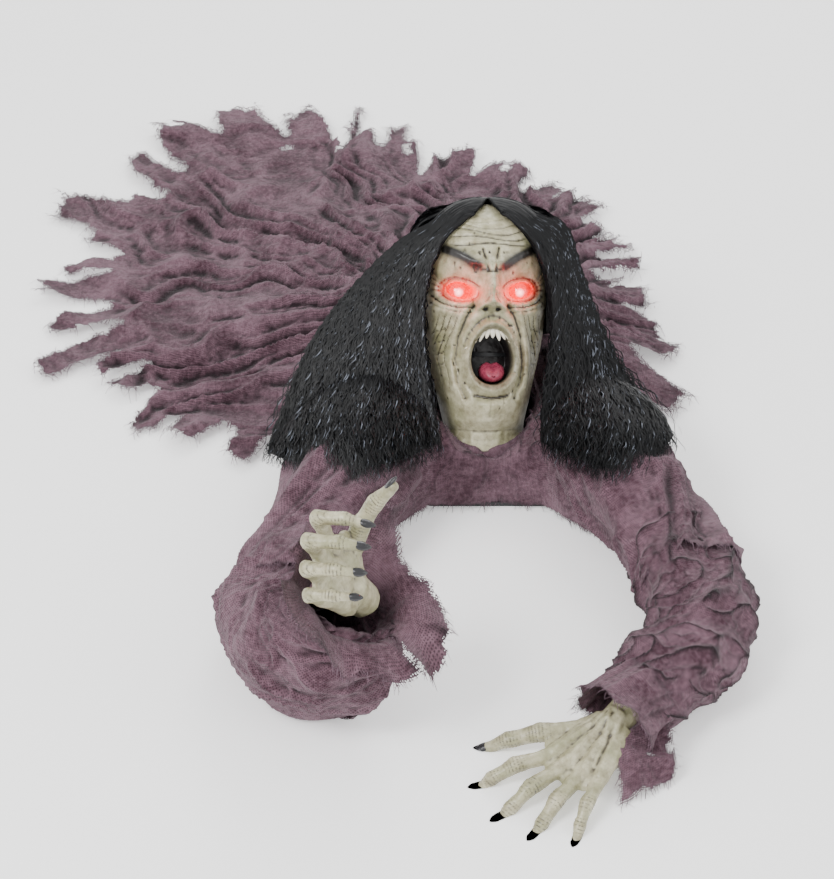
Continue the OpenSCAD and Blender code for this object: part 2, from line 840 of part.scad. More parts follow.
// one ring of the skin round a route point; every stretch runs mostly along Y or Z
function route_ring(route, i, r, m) =
    let (t = route_dir(route, i), c = cross(t, [1, 0, 0]), n = c / norm(c), b = cross(t, n))
    [for (k = [0:m - 1]) route[i] + r * (cos(360 * k / m) * n + sin(360 * k / m) * b)];

// a round body of m sides along a route, with a radius for each of its points
module limb(route, radii, m = 8) {
    last = len(route) - 1;
    polyhedron(
        points = [for (i = [0:last]) each route_ring(route, i, radii[i], m)],
        faces = [[for (k = [0:m - 1]) k],
            for (i = [0:last - 1]) for (k = [0:m - 1])
                [i * m + k, (i + 1) * m + k, (i + 1) * m + (k + 1) % m, i * m + (k + 1) % m],
            [for (k = [m - 1:-1:0]) last * m + k]]);
}

module lead(route) {
    limb(route, [for (p = route) lead_r]);
}

// ---------- hands ----------

palm_l = 80;
hand_bore = rod_r + run_gap;

// a finger along -Y from its knuckle: yaw to the side, bends of the three joints, bone lengths
module finger(base, yaw, bends, bones, r) {
    a = bends[0];
    b = bends[0] + bends[1];
    c = bends[0] + bends[1] + bends[2];
    p1 = bones[0] * [0, -cos(a), -sin(a)];
    p2 = p1 + bones[1] * [0, -cos(b), -sin(b)];
    p3 = p2 + bones[2] * [0, -cos(c), -sin(c)];
    // joints stand a little proud of the bones between them
    translate(base) rotate([0, 0, yaw]) limb(
        [[0, 8, 0], [0, 0, 0], p1 * 0.5, p1, (p1 + p2) / 2, p2, p2 * 0.4 + p3 * 0.6, p3, p3 + 0.15 * (p3 - p2)],
        [r, r + 1, r - 0.6, r + 1.2, r - 1.2, r + 0.4, r - 1.4, r - 3, r - 6], 14);
}

// a hand, palm down, fingers towards -Y; s is 1 for a left hand and -1 for a right one
module hand_form(s, yaws, lift, curl, tip_curl, thumb_yaw, thumb_lift) {
    translate([0, -8, 0]) rotate([90, 0, 0]) cylinder(h = 30, r = 21);
    hull() {
        translate([0, -30, 0]) sphere(r = 17, $fn = 24);
        translate([s * -20, -40, -2]) sphere(r = 14, $fn = 24);
        translate([s * 20, -38, -2]) sphere(r = 13, $fn = 24);
        translate([s * -28, -palm_l, 2]) sphere(r = 11, $fn = 24);
        translate([s * -9, -palm_l - 4, 3]) sphere(r = 11, $fn = 24);
        translate([s * 29, -palm_l + 6, 1]) sphere(r = 10, $fn = 24);
    }
    finger([s * -28, -palm_l, 2], s * yaws[0], [lift, curl, tip_curl], [42, 27, 22], 9.5);
    finger([s * -9, -palm_l - 4, 3], s * yaws[1], [lift, curl, tip_curl], [45, 29, 23], 9.6);
    finger([s * 11, -palm_l - 2, 2], s * yaws[2], [lift, curl, tip_curl], [42, 28, 22], 9.3);
    finger([s * 29, -palm_l + 6, 1], s * yaws[3], [lift, curl, tip_curl], [36, 24, 20], 8.6);
    finger([s * -24, -34, -3], s * thumb_yaw, [thumb_lift, 14, 10], [46, 34, 28], 10.5);
}

module wrist_bore(elbow, wrist) {
    d = (wrist - elbow) / norm(wrist - elbow);
    rod(wrist - 30 * d, wrist + 13 * d, hand_bore);
    rod(wrist - 30 * d, wrist - 3.5 * d, rod_r + 16);
}

module left_hand() {
    color(skin) difference() {
        translate(left_wrist) rotate([0, 0, -42]) translate([0, 0, -8])
            rotate([13, 0, 0]) hand_form(1, [-30, -11, 3, 18], -8, 26, 14, -46, -4);
        wrist_bore(left_elbow, left_wrist);
        translate([-500, -900, -50]) cube([1000, 900, 50.5]);
    }
}

module right_hand() {
    color(skin) difference() {
        translate(right_wrist) rotate([-107, -31, 80])
            hand_form(-1, [-16, -4, 5, 12], 8, 82, 28, -30, -14);
        wrist_bore(right_elbow, right_wrist);
    }
}

// ---------- leads ----------

lead_r = 1.6;
lead_floor = tray_t + lead_r + 0.6;
neck_up = [0, sin(head_lean), cos(head_lean)];

// from the case along the tray and up into the foot of the neck tube
module head_lead() {
    foot = neck + (gear_z - 3) * neck_up;
    color("black") lead([[20, case_y + 6, lead_floor + 4], [20, case_y - 12, lead_floor + 4],
        [20, 20, lead_floor], [neck.x, -40, lead_floor], [neck.x, -62, lead_floor + 0.4],
        foot - [0, 6, 6], foot, foot + 50 * neck_up]);
}

// from the top of the neck tube to the two eye lights
module eye_lead() {
    color("black") at_face() union() {
        rod([0, 0, plate_l - 30], [0, 0, plate_l + 30], lead_r);
        translate([0, 0, plate_l + 30]) sphere(r = lead_r + 0.2);
        for (x = [-1, 1]) {
            rod([0, 0, plate_l + 30], [x * eye_x, -30, eye_l], lead_r);
            translate([x * eye_x, -30, eye_l]) sphere(r = lead_r + 0.2);
            rod([x * eye_x, -30, eye_l], [x * eye_x, -40, eye_l], lead_r);
        }
    }
}

base_tray();
battery_door();
battery_cells();
battery_contacts();
electronics_case();
circuit_board();
speaker();
case_lid();
case_screws();
power_switch();
try_button();
sensor_holder();
sound_sensor();
neck_bracket();
neck_bush();
gear_motor();
drive_pinion();
sector_gear();
neck_tube();
head_plate();
face_shell();
skull_shell();
mouth_lining();
upper_teeth();
tongue();
right_eye_lens();
left_eye_lens();
right_eye_light();
left_eye_light();
wig_cap();
hair_right();
hair_left();
hair_back();
shoulder_yoke();
right_shoulder_pin();
left_shoulder_pin();
right_upper_rod();
left_upper_rod();
right_elbow_pin();
left_elbow_pin();
right_fore_rod();
left_fore_rod();
right_shoulder_pad();
left_shoulder_pad();
robe_body();
robe_collar();
skirt();
right_upper_sleeve();
left_upper_sleeve();
right_lower_sleeve();
left_lower_sleeve();
right_cuff();
left_cuff();
right_hand();
left_hand();
head_lead();
eye_lead();
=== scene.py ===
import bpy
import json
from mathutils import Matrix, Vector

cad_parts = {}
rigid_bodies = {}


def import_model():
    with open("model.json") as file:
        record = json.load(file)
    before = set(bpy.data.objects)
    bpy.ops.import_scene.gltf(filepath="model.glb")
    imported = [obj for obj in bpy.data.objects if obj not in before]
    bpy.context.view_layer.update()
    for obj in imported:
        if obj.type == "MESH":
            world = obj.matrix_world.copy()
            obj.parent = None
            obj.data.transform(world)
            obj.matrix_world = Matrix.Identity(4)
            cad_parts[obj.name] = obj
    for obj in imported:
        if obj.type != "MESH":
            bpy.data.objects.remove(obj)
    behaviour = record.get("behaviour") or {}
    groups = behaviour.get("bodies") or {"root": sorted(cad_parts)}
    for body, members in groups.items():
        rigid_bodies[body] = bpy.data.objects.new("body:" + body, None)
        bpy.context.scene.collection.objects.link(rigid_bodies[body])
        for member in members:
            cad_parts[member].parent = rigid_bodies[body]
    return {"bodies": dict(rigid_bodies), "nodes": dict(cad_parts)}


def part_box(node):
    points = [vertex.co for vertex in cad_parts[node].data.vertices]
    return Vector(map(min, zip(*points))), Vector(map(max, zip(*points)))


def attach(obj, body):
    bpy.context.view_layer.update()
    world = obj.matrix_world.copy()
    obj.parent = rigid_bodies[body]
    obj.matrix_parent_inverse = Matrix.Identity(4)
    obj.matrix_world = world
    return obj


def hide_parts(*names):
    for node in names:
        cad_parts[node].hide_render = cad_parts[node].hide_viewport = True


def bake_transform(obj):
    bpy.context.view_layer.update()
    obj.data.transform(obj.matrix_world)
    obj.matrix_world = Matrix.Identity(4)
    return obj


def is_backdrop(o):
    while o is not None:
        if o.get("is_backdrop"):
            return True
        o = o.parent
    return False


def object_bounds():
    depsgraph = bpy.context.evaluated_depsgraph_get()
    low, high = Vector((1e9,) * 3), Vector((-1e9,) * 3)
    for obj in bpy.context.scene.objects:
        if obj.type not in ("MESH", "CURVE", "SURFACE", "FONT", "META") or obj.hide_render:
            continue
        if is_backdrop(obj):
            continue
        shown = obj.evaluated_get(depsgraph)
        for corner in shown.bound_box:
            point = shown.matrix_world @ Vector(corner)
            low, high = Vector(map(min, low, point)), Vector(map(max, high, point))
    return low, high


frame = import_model()
cadBox = [list(corner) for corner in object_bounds()]

import json
import math

import bpy
import numpy as np
from mathutils import Matrix, Vector
from mathutils.kdtree import KDTree

mm = 0.001

# where the neck joint stands and how the head leans, as in the part
neck = {"place": (-4, -48, 46), "lean": 39, "turn": 6, "eyeX": 35, "eyeLevel": 169}
arms = {
    "shoulders": {"right": (-120, -90, 58), "left": (120, -90, 58)},
    "elbows": {"right": (-214, -348, 52), "left": (225, -344, 52)},
    "wrists": {"right": (-141.6, -451.7, 171.8), "left": (131.8, -490.7, 45.9)},
}


# small tools used all over

def smoothStep(low, high, x):
    t = np.clip((x - low) / (high - low), 0, 1)
    return t * t * (3 - 2 * t)


def softNoise(points, size, seed=0):
    # smooth value noise from -1 to 1, size is the width of one lump
    q = np.asarray(points, float) / size + 31.7 * seed + 500
    cell = np.floor(q).astype(np.int64)
    f = q - cell
    f = f * f * (3 - 2 * f)
    total = np.zeros(len(q))
    for dx in (0, 1):
        for dy in (0, 1):
            for dz in (0, 1):
                h = (cell[:, 0] + dx) * 374761393 + (cell[:, 1] + dy) * 668265263 + (cell[:, 2] + dz) * 974634777
                h = (h ^ (h >> 13)) * 1274126177 & 0xFFFFFFFF
                h = (h ^ (h >> 16)) & 0xFFFF
                weight = (f[:, 0] if dx else 1 - f[:, 0]) * (f[:, 1] if dy else 1 - f[:, 1]) * (f[:, 2] if dz else 1 - f[:, 2])
                total += weight * (h / 32767.5 - 1)
    return total


def foldNoise(points, size, seed=0):
    # sharp crests with soft valleys, 0 to 1, as crumpled cloth has
    return (1 - np.abs(softNoise(points, size, seed))) ** 2


def nearLine(x, z, line, width):
    # 1 on a line through the points, fading away within the width
    best = np.full(np.shape(x), 1e9)
    for (ax, az), (bx, bz) in zip(line, line[1:]):
        lx, lz = bx - ax, bz - az
        t = np.clip(((x - ax) * lx + (z - az) * lz) / (lx * lx + lz * lz), 0, 1)
        best = np.minimum(best, np.hypot(x - ax - t * lx, z - az - t * lz))
    return np.exp(-(best / width) ** 2)


def bump(dx, dz, wide, high):
    return np.exp(-(dx / wide) ** 2 - (dz / high) ** 2)


def alongCurve(stations, t):
    # Catmull-Rom through the stations, t runs from 0 to 1
    p = np.asarray(stations, float)
    n = len(p) - 1
    s = np.clip(np.asarray(t, float), 0, 1) * n
    i = np.minimum(np.floor(s).astype(int), n - 1)
    f = (s - i)[:, None]
    a, b, c, d = p[np.maximum(i - 1, 0)], p[i], p[i + 1], p[np.minimum(i + 2, n)]
    return 0.5 * (2 * b + (c - a) * f + (2 * a - 5 * b + 4 * c - d) * f ** 2 + (3 * b - a - 3 * c + d) * f ** 3)


def deselectAll():
    if bpy.context.object and bpy.context.object.mode != "OBJECT":
        bpy.ops.object.mode_set(mode="OBJECT")
    bpy.ops.object.select_all(action="DESELECT")


def addShape(kind, name, **settings):
    deselectAll()
    getattr(bpy.ops.mesh, "primitive_" + kind + "_add")(**settings)
    shape = bpy.context.object
    shape.name = name
    return shape


def pickOnly(*shapes):
    deselectAll()
    for shape in shapes:
        shape.select_set(True)
    bpy.context.view_layer.objects.active = shapes[0]


def joinShapes(shapes, name):
    pickOnly(*shapes)
    bpy.ops.object.transform_apply(location=True, rotation=True, scale=True)
    if len(shapes) > 1:
        bpy.ops.object.join()
    shapes[0].name = name
    return shapes[0]


def useModifier(shape, kind, **settings):
    pickOnly(shape)
    modifier = shape.modifiers.new(kind.title(), kind)
    for key, value in settings.items():
        setattr(modifier, key, value)
    bpy.ops.object.modifier_apply(modifier=modifier.name)
    return shape


def getPoints(shape):
    flat = np.empty(len(shape.data.vertices) * 3)
    shape.data.vertices.foreach_get("co", flat)
    return flat.reshape(-1, 3)


def setPoints(shape, points):
    shape.data.vertices.foreach_set("co", np.asarray(points, float).ravel())
    shape.data.update()


def setMask(shape, name, values):
    layer = shape.data.attributes.get(name) or shape.data.attributes.new(name, "FLOAT", "POINT")
    layer.data.foreach_set("value", np.asarray(values, np.float32))


def hollowness(shape, rounds=2):
    # how far each point lies below the mean of its neighbours, in mm
    points = getPoints(shape)
    edges = np.empty(len(shape.data.edges) * 2, np.int64)
    shape.data.edges.foreach_get("vertices", edges)
    edges = edges.reshape(-1, 2)
    normals = np.empty(len(points) * 3)
    shape.data.vertices.foreach_get("normal", normals)
    normals = normals.reshape(-1, 3)
    count = np.bincount(edges.ravel(), minlength=len(points)).clip(1)[:, None]
    smooth = points
    for _ in range(rounds):
        total = np.zeros_like(smooth)
        np.add.at(total, edges[:, 0], smooth[edges[:, 1]])
        np.add.at(total, edges[:, 1], smooth[edges[:, 0]])
        smooth = total / count
    return ((smooth - points) * normals).sum(1) * 1000


def cleanMesh(shape, gap=0.00002, turnOut=True):
    pickOnly(shape)
    bpy.ops.object.mode_set(mode="EDIT")
    bpy.ops.mesh.select_all(action="SELECT")
    bpy.ops.mesh.remove_doubles(threshold=gap)
    if turnOut:
        bpy.ops.mesh.normals_make_consistent(inside=False)
    bpy.ops.object.mode_set(mode="OBJECT")


def deletePoints(shape, chosen):
    pickOnly(shape)
    bpy.ops.object.mode_set(mode="EDIT")
    bpy.ops.mesh.select_all(action="DESELECT")
    bpy.ops.object.mode_set(mode="OBJECT")
    shape.data.vertices.foreach_set("select", np.asarray(chosen, bool))
    bpy.ops.object.mode_set(mode="EDIT")
    bpy.ops.mesh.delete(type="VERT")
    bpy.ops.object.mode_set(mode="OBJECT")


def meshFrom(name, points, faces):
    mesh = bpy.data.meshes.new(name)
    mesh.from_pydata([tuple(p) for p in points], [], faces)
    shape = bpy.data.objects.new(name, mesh)
    bpy.context.collection.objects.link(shape)
    return shape


def smoothFaces(shape):
    pickOnly(shape)
    bpy.ops.object.shade_smooth()


def headToWorld(points, turned=True):
    # points in mm in the leaning neck's frame, X to the side, Z up the neck, -Y out of the face
    p = np.asarray(points, float)
    lean = math.radians(neck["lean"])
    turn = math.radians(neck["turn"] if turned else 0)
    x = p[:, 0] * math.cos(turn) - p[:, 1] * math.sin(turn)
    y = p[:, 0] * math.sin(turn) + p[:, 1] * math.cos(turn)
    z = p[:, 2]
    place = neck["place"]
    return np.stack([x + place[0], y * math.cos(lean) + z * math.sin(lean) + place[1],
                     -y * math.sin(lean) + z * math.cos(lean) + place[2]], 1) * mm


# materials

def colour(hexText):
    parts = [int(hexText[i:i + 2], 16) / 255 for i in (1, 3, 5)]
    return tuple(c / 12.92 if c <= 0.04045 else ((c + 0.055) / 1.055) ** 2.4 for c in parts) + (1,)


def addNode(tree, kind, links=None, **settings):
    node = tree.nodes.new("ShaderNode" + kind)
    for key, value in settings.items():
        setattr(node, key, value)
    for socket, value in (links or {}).items():
        if isinstance(value, bpy.types.NodeSocket):
            tree.links.new(value, node.inputs[socket])
        else:
            node.inputs[socket].default_value = value
    return node


def newMaterial(name, **fixed):
    material = bpy.data.materials.new(name)
    material.use_nodes = True
    tree = material.node_tree
    shader = tree.nodes["Principled BSDF"]
    for socket, value in fixed.items():
        shader.inputs[socket.replace("_", " ")].default_value = value
    return material, tree, shader


def blendColour(tree, factor, low, high, how="MIX"):
    node = addNode(tree, "Mix", {"Factor": factor}, data_type="RGBA", blend_type=how)
    for socket, value in ((node.inputs[6], low), (node.inputs[7], high)):
        if isinstance(value, bpy.types.NodeSocket):
            tree.links.new(value, socket)
        else:
            socket.default_value = value
    return node.outputs[2]


def calc(tree, how, a, b=0.0, clamp=False):
    return addNode(tree, "Math", {0: a, 1: b}, operation=how, use_clamp=clamp).outputs[0]


def fitRange(tree, value, low, high, start=0.0, end=1.0):
    return addNode(tree, "MapRange", {"Value": value, "From Min": low, "From Max": high,
                                      "To Min": start, "To Max": end}).outputs[0]


def maskOf(tree, name):
    return addNode(tree, "Attribute", attribute_name=name).outputs["Fac"]


def noiseOf(tree, where, lumpMm, detail=3.0, rough=0.5, warp=0.0):
    # a lump of Blender's noise is about one unit wide at scale 1
    return addNode(tree, "TexNoise", {"Vector": where, "Scale": 1000 / lumpMm, "Detail": detail,
                                      "Roughness": rough, "Distortion": warp}).outputs["Fac"]


def objectPlace(tree):
    return addNode(tree, "TexCoord").outputs["Object"]


# open-weave gauze: dull dyed cotton; the dark colour is painted shade, laid in the gaps between the threads and in the
# valleys of the folds
gauze = {"dark": "#150d11", "mid": "#452d37", "light": "#7f626e", "fray": "#3b3338", "thread": 1.7}


def gauzeMaterial(name):
    material, tree, shader = newMaterial(name, Roughness=0.92, Sheen_Weight=0.12, Sheen_Roughness=0.5,
                                         Specular_IOR_Level=0.15)
    where = objectPlace(tree)
    cloth = addNode(tree, "UVMap", uv_map="weave").outputs["UV"]
    # real threads stand about 1.2 mm apart, drawn 1.7 mm apart so that they show
    bands = []
    for direction in ("X", "Y"):
        wave = addNode(tree, "TexWave", {"Vector": cloth, "Scale": 314 / gauze["thread"], "Distortion": 2.2,
                                         "Detail": 2.0, "Detail Scale": 1.5}, bands_direction=direction)
        bands.append(wave.outputs["Fac"])
    threads = calc(tree, "MAXIMUM", bands[0], bands[1])
    slub = noiseOf(tree, where, 5, 4.0, 0.65)
    patches = noiseOf(tree, where, 55, 3.0, 0.55, 0.6)
    crinkle = noiseOf(tree, where, 9, 3.0, 0.6, 1.2)
    tone = calc(tree, "ADD", calc(tree, "MULTIPLY", patches, 0.5), calc(tree, "MULTIPLY", slub, 0.5))
    base = blendColour(tree, fitRange(tree, tone, 0.38, 0.64), colour(gauze["mid"]), colour(gauze["light"]))
    # painted shade in the gaps between the threads
    woven = blendColour(tree, fitRange(tree, threads, 0.0, 0.75, 0.25, 1.0), colour(gauze["dark"]), base)
    # painted shade in the valleys of the folds, from the deep mask
    deep = blendColour(tree, fitRange(tree, maskOf(tree, "deep"), 0.0, 1.0, 0.0, 0.92), woven, colour(gauze["dark"]))
    fray = maskOf(tree, "fray")
    worn = blendColour(tree, fitRange(tree, fray, 0.2, 1.0, 0.0, 0.7), deep, colour(gauze["fray"]))
    tree.links.new(worn, shader.inputs["Base Color"])
    # towards a torn edge the weave opens until only threads are left
    open1 = calc(tree, "ADD", fitRange(tree, threads, 0.3, 0.9, 0.0, 0.55), fitRange(tree, slub, 0.35, 0.65, 0.0, 0.6))
    solid = calc(tree, "SUBTRACT", calc(tree, "ADD", open1, 0.9), calc(tree, "MULTIPLY", fray, 1.5))
    tree.links.new(calc(tree, "GREATER_THAN", solid, 0.42), shader.inputs["Alpha"])
    height = calc(tree, "ADD", calc(tree, "MULTIPLY", threads, 0.5), calc(tree, "MULTIPLY", crinkle, 2.4))
    bumpNode = addNode(tree, "Bump", {"Height": height, "Strength": 0.9, "Distance": 0.0012})
    tree.links.new(bumpNode.outputs["Normal"], shader.inputs["Normal"])
    return material


# painted soft vinyl: cast skin, half gloss, with painted shade in brown laid into the folds and hollows
skin = {"light": "#bdb79a", "mid": "#867f62", "green": "#7c7f57", "shadeAndSpeckleBrown": "#2c2419", "brow": "#16130f",
        "nail": "#1d1d20", "mouth": "#12080a", "glow": "#ff2a1c"}


def skinMaterial():
    material, tree, shader = newMaterial("paintedVinylSkin", Coat_Weight=0.25, Coat_Roughness=0.3,
                                         Specular_IOR_Level=0.5)
    where = objectPlace(tree)
    broad = noiseOf(tree, where, 38, 3.0, 0.55, 0.4)
    blotch = noiseOf(tree, where, 11, 4.0, 0.6)
    fine = noiseOf(tree, where, 2.2, 3.0, 0.6)
    base = blendColour(tree, fitRange(tree, blotch, 0.35, 0.7), colour(skin["light"]), colour(skin["mid"]))
    base = blendColour(tree, fitRange(tree, broad, 0.45, 0.7, 0.0, 0.6), base, colour(skin["green"]))
    # painted shade in the folds and hollows from the crease mask, plus a fine random brown speckle
    foldShadeAndSpeckle = calc(tree, "ADD", maskOf(tree, "crease"), fitRange(tree, fine, 0.56, 0.75, 0.0, 0.25), True)
    base = blendColour(tree, foldShadeAndSpeckle, base, colour(skin["shadeAndSpeckleBrown"]))
    base = blendColour(tree, maskOf(tree, "brow"), base, colour(skin["brow"]))
    base = blendColour(tree, maskOf(tree, "mouth"), base, colour(skin["mouth"]))
    base = blendColour(tree, maskOf(tree, "nail"), base, colour(skin["nail"]))
    # painted red light from the eyes on the skin round them
    glow = maskOf(tree, "glow")
    base = blendColour(tree, calc(tree, "MULTIPLY", glow, 0.85, True), base, colour(skin["glow"]))
    tree.links.new(base, shader.inputs["Base Color"])
    gloss = fitRange(tree, blotch, 0.3, 0.7, 0.34, 0.52)
    gloss = calc(tree, "SUBTRACT", gloss, calc(tree, "MULTIPLY", maskOf(tree, "nail"), 0.2))
    tree.links.new(gloss, shader.inputs["Roughness"])
    # the skin round the eyes also glows as painted light, though it is no lamp
    shader.inputs["Emission Color"].default_value = colour(skin["glow"])
    tree.links.new(calc(tree, "MULTIPLY", calc(tree, "POWER", glow, 2.0), 0.55), shader.inputs["Emission Strength"])
    pores = addNode(tree, "TexVoronoi", {"Vector": where, "Scale": 420.0}, feature="F1").outputs["Distance"]
    height = calc(tree, "ADD", calc(tree, "MULTIPLY", pores, 0.35), calc(tree, "MULTIPLY", fine, 0.8))
    bumpNode = addNode(tree, "Bump", {"Height": height, "Strength": 0.5, "Distance": 0.0008})
    tree.links.new(bumpNode.outputs["Normal"], shader.inputs["Normal"])
    return material


# crimped acrylic wig fibre: black, with a cool painted sheen along each strand
wig = {"root": "#060607", "mid": "#131416", "light": "#6d727d"}


def hairMaterial():
    material, tree, shader = newMaterial("acrylicWigFibre", Specular_IOR_Level=0.22)
    tone = maskOf(tree, "tone")
    where = objectPlace(tree)
    streak = noiseOf(tree, where, 7, 3.0, 0.6)
    mixed = calc(tree, "ADD", calc(tree, "MULTIPLY", tone, 0.75), calc(tree, "MULTIPLY", streak, 0.35))
    # low tone goes to the darkest colour and high tone to the painted highlight colour; tone is random per strand and
    # carries the painted glint
    low = blendColour(tree, fitRange(tree, mixed, 0.15, 0.6), colour(wig["root"]), colour(wig["mid"]))
    tree.links.new(blendColour(tree, fitRange(tree, mixed, 0.66, 1.0), low, colour(wig["light"])),
                   shader.inputs["Base Color"])
    tree.links.new(fitRange(tree, streak, 0.3, 0.7, 0.45, 0.62), shader.inputs["Roughness"])
    return material


# plain parts: a colour with grain in its tone, its gloss and its surface
plainFinishes = {
    "black_plastic": dict(name="mouldedAbsBlack", low="#17181a", high="#232427", rough=0.48, grain=0.9, depth=0.12),
    "cell_jacket": dict(name="printedCellJacket", low="#1d3d2a", high="#2f5a3c", rough=0.35, grain=6, depth=0.05),
    "contact_steel": dict(name="nickelPlatedSpring", low="#a9a9a4", high="#c6c5bf", rough=0.28, grain=1.5, metal=1.0),
    "board": dict(name="glassEpoxyBoard", low="#11472a", high="#1c6239", rough=0.42, grain=3, depth=0.1),
    "speaker_cone": dict(name="pressedPaperCone", low="#26241f", high="#3a362f", rough=0.85, grain=1.2, depth=0.3),
    "red_plastic": dict(name="mouldedAbsRed", low="#8d1210", high="#b01a16", rough=0.4, grain=1, depth=0.1),
    "sensor_can": dict(name="drawnSteelCan", low="#8d8f92", high="#b2b4b6", rough=0.3, grain=2, metal=1.0),
    "frame_steel": dict(name="zincPlatedSteel", low="#8a8c8d", high="#b4b5b2", rough=0.38, grain=4, metal=1.0),
    "gear_nylon": dict(name="mouldedNylonWhite", low="#cfccc0", high="#e2dfd4", rough=0.5, grain=2, depth=0.08),
    "mouth_paint": dict(name="mouthPaint", low="#0d0506", high="#2a1012", rough=0.3, grain=5, depth=0.3),
    "tooth": dict(name="castToothEnamel", low="#c9c2a6", high="#efead9", rough=0.25, grain=4, depth=0.15),
    "tongue_vinyl": dict(name="paintedVinylTongue", low="#6e2336", high="#a8465c", rough=0.28, grain=3, depth=0.5),
    "cap_cloth": dict(name="wigCapNetting", low="#0c0c0d", high="#1a1a1c", rough=0.9, grain=2.5, depth=0.5),
    "pad_foam": dict(name="feltedFoamPad", low="#34302f", high="#4a4443", rough=0.95, grain=2, depth=0.5),
    "lead_sheath": dict(name="pvcLeadSheath", low="#101011", high="#1b1b1d", rough=0.45, grain=3, depth=0.05),
    "eye_led": dict(name="whiteLedHolder", low="#d9d6cc", high="#f0ede4", rough=0.35, grain=3, depth=0.05),
}


def plainMaterial(name, low, high, rough, grain, depth=0.06, metal=0.0):
    material, tree, shader = newMaterial(name, Metallic=metal)
    where = objectPlace(tree)
    speckle = noiseOf(tree, where, grain, 4.0, 0.6)
    cloud = noiseOf(tree, where, grain * 9, 2.0)
    tone = calc(tree, "ADD", calc(tree, "MULTIPLY", speckle, 0.5), calc(tree, "MULTIPLY", cloud, 0.5))
    tree.links.new(blendColour(tree, fitRange(tree, tone, 0.35, 0.65), colour(low), colour(high)),
                   shader.inputs["Base Color"])
    tree.links.new(fitRange(tree, speckle, 0.3, 0.7, rough - 0.06, rough + 0.08), shader.inputs["Roughness"])
    bumpNode = addNode(tree, "Bump", {"Height": speckle, "Strength": 0.5, "Distance": depth * mm})
    tree.links.new(bumpNode.outputs["Normal"], shader.inputs["Normal"])
    return material


def lensMaterial(name, centre):
    # clear red acrylic lit from behind: white hot in the middle, deep red at the rim
    material, tree, shader = newMaterial(name, Roughness=0.12, Coat_Weight=0.6, Coat_Roughness=0.05)
    where = addNode(tree, "Mapping", {"Vector": objectPlace(tree), "Location": [-c for c in centre]}).outputs[0]
    distance = addNode(tree, "VectorMath", {0: where}, operation="LENGTH").outputs["Value"]
    heat = fitRange(tree, distance, 0.0015, 0.0065, 1.0, 0.0)
    facet = addNode(tree, "TexVoronoi", {"Vector": where, "Scale": 600.0}).outputs["Distance"]
    red = blendColour(tree, fitRange(tree, facet, 0.1, 0.7), colour("#ff1a10"), colour("#c40505"))
    glowing = blendColour(tree, heat, red, colour("#fff3ee"))
    tree.links.new(glowing, shader.inputs["Base Color"])
    tree.links.new(glowing, shader.inputs["Emission Color"])
    tree.links.new(fitRange(tree, heat, 0.0, 1.0, 1.1, 7.0), shader.inputs["Emission Strength"])
    return material


gauzeCloth = gauzeMaterial("dyedCottonGauze")
skinVinyl = skinMaterial()
wigFibre = hairMaterial()
plain = {slotName: plainMaterial(**facts) for slotName, facts in plainFinishes.items()}
print("materials made")


def finishPiece(shape, material, body=None, stands=()):
    shape.data.materials.clear()
    shape.data.materials.append(material)
    smoothFaces(shape)
    if stands:
        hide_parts(*stands)
    if body:
        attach(shape, body)
    deselectAll()
    return shape


# camera, floor and light

view = {"aim": (-0.081, 0.01, 0.0), "distance": 3.2, "rise": 39, "focal": 2700 / 879 * 36}
rise = math.radians(view["rise"])
bpy.ops.object.camera_add(location=(view["aim"][0], view["aim"][1] - view["distance"] * math.cos(rise),
                                    view["aim"][2] + view["distance"] * math.sin(rise)),
                          rotation=(math.pi / 2 - rise, 0, 0))
camera = bpy.context.object
camera.data.lens = view["focal"]
camera.data.sensor_width = 36
camera.data.clip_end = 50
bpy.context.scene.camera = camera

floor = addShape("plane", "studioFloor", size=14, location=(0, 0, 0))
floorPaint, floorTree, floorShader = newMaterial("studioPaper", Roughness=0.95)
floorShader.inputs["Base Color"].default_value = (0.93, 0.93, 0.93, 1)
floorShader.inputs["Emission Color"].default_value = (1, 1, 1, 1)
floorShader.inputs["Emission Strength"].default_value = 0.4
floor.data.materials.append(floorPaint)
floor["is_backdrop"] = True


def addLight(name, place, aim, size, watts, tint=(1, 1, 1)):
    bpy.ops.object.light_add(type="AREA", location=place)
    light = bpy.context.object
    light.name = name
    light.data.size = size
    light.data.energy = watts
    light.data.color = tint
    light.rotation_mode = "QUATERNION"
    light.rotation_quaternion = (Vector(aim) - Vector(place)).to_track_quat("-Z", "Y")
    return light


addLight("keyLight", (-1.6, -1.5, 2.4), (-0.05, 0, 0.05), 1.1, 78)
addLight("fillLight", (2.2, -1.4, 1.8), (0, 0, 0.05), 1.8, 26)
addLight("backLight", (0.4, 2.2, 2.2), (0, 0.1, 0.05), 1.4, 34)
world = bpy.data.worlds.new("paleRoom")
bpy.context.scene.world = world
world.use_nodes = True
world.node_tree.nodes["Background"].inputs["Color"].default_value = (1, 1, 1, 1)
world.node_tree.nodes["Background"].inputs["Strength"].default_value = 1.25
print("camera and lights ready")


# head: one cast skin from the crown to the scooped neck edge

headSkin = {
    "across": 300, "down": 250,
    # levels up the neck, half width, depth in front and depth behind the neck axis
    "levels": [-15, 0, 10, 22, 40, 61, 87, 110, 136, 174, 190],
    "halfWidth": [50, 47, 46, 47, 51, 56, 62, 67, 71, 74, 75],
    "front": [50, 47, 49, 64, 71, 71, 70, 71, 73, 71, 70],
    "back": [50, 49, 48, 48, 50, 54, 62, 72, 84, 94, 96],
    "dome": 83, "domeShape": 2.5,
    "mouth": (2, 94, 25, 33), "eye": (35, 170, 14.5, 9.0),
}


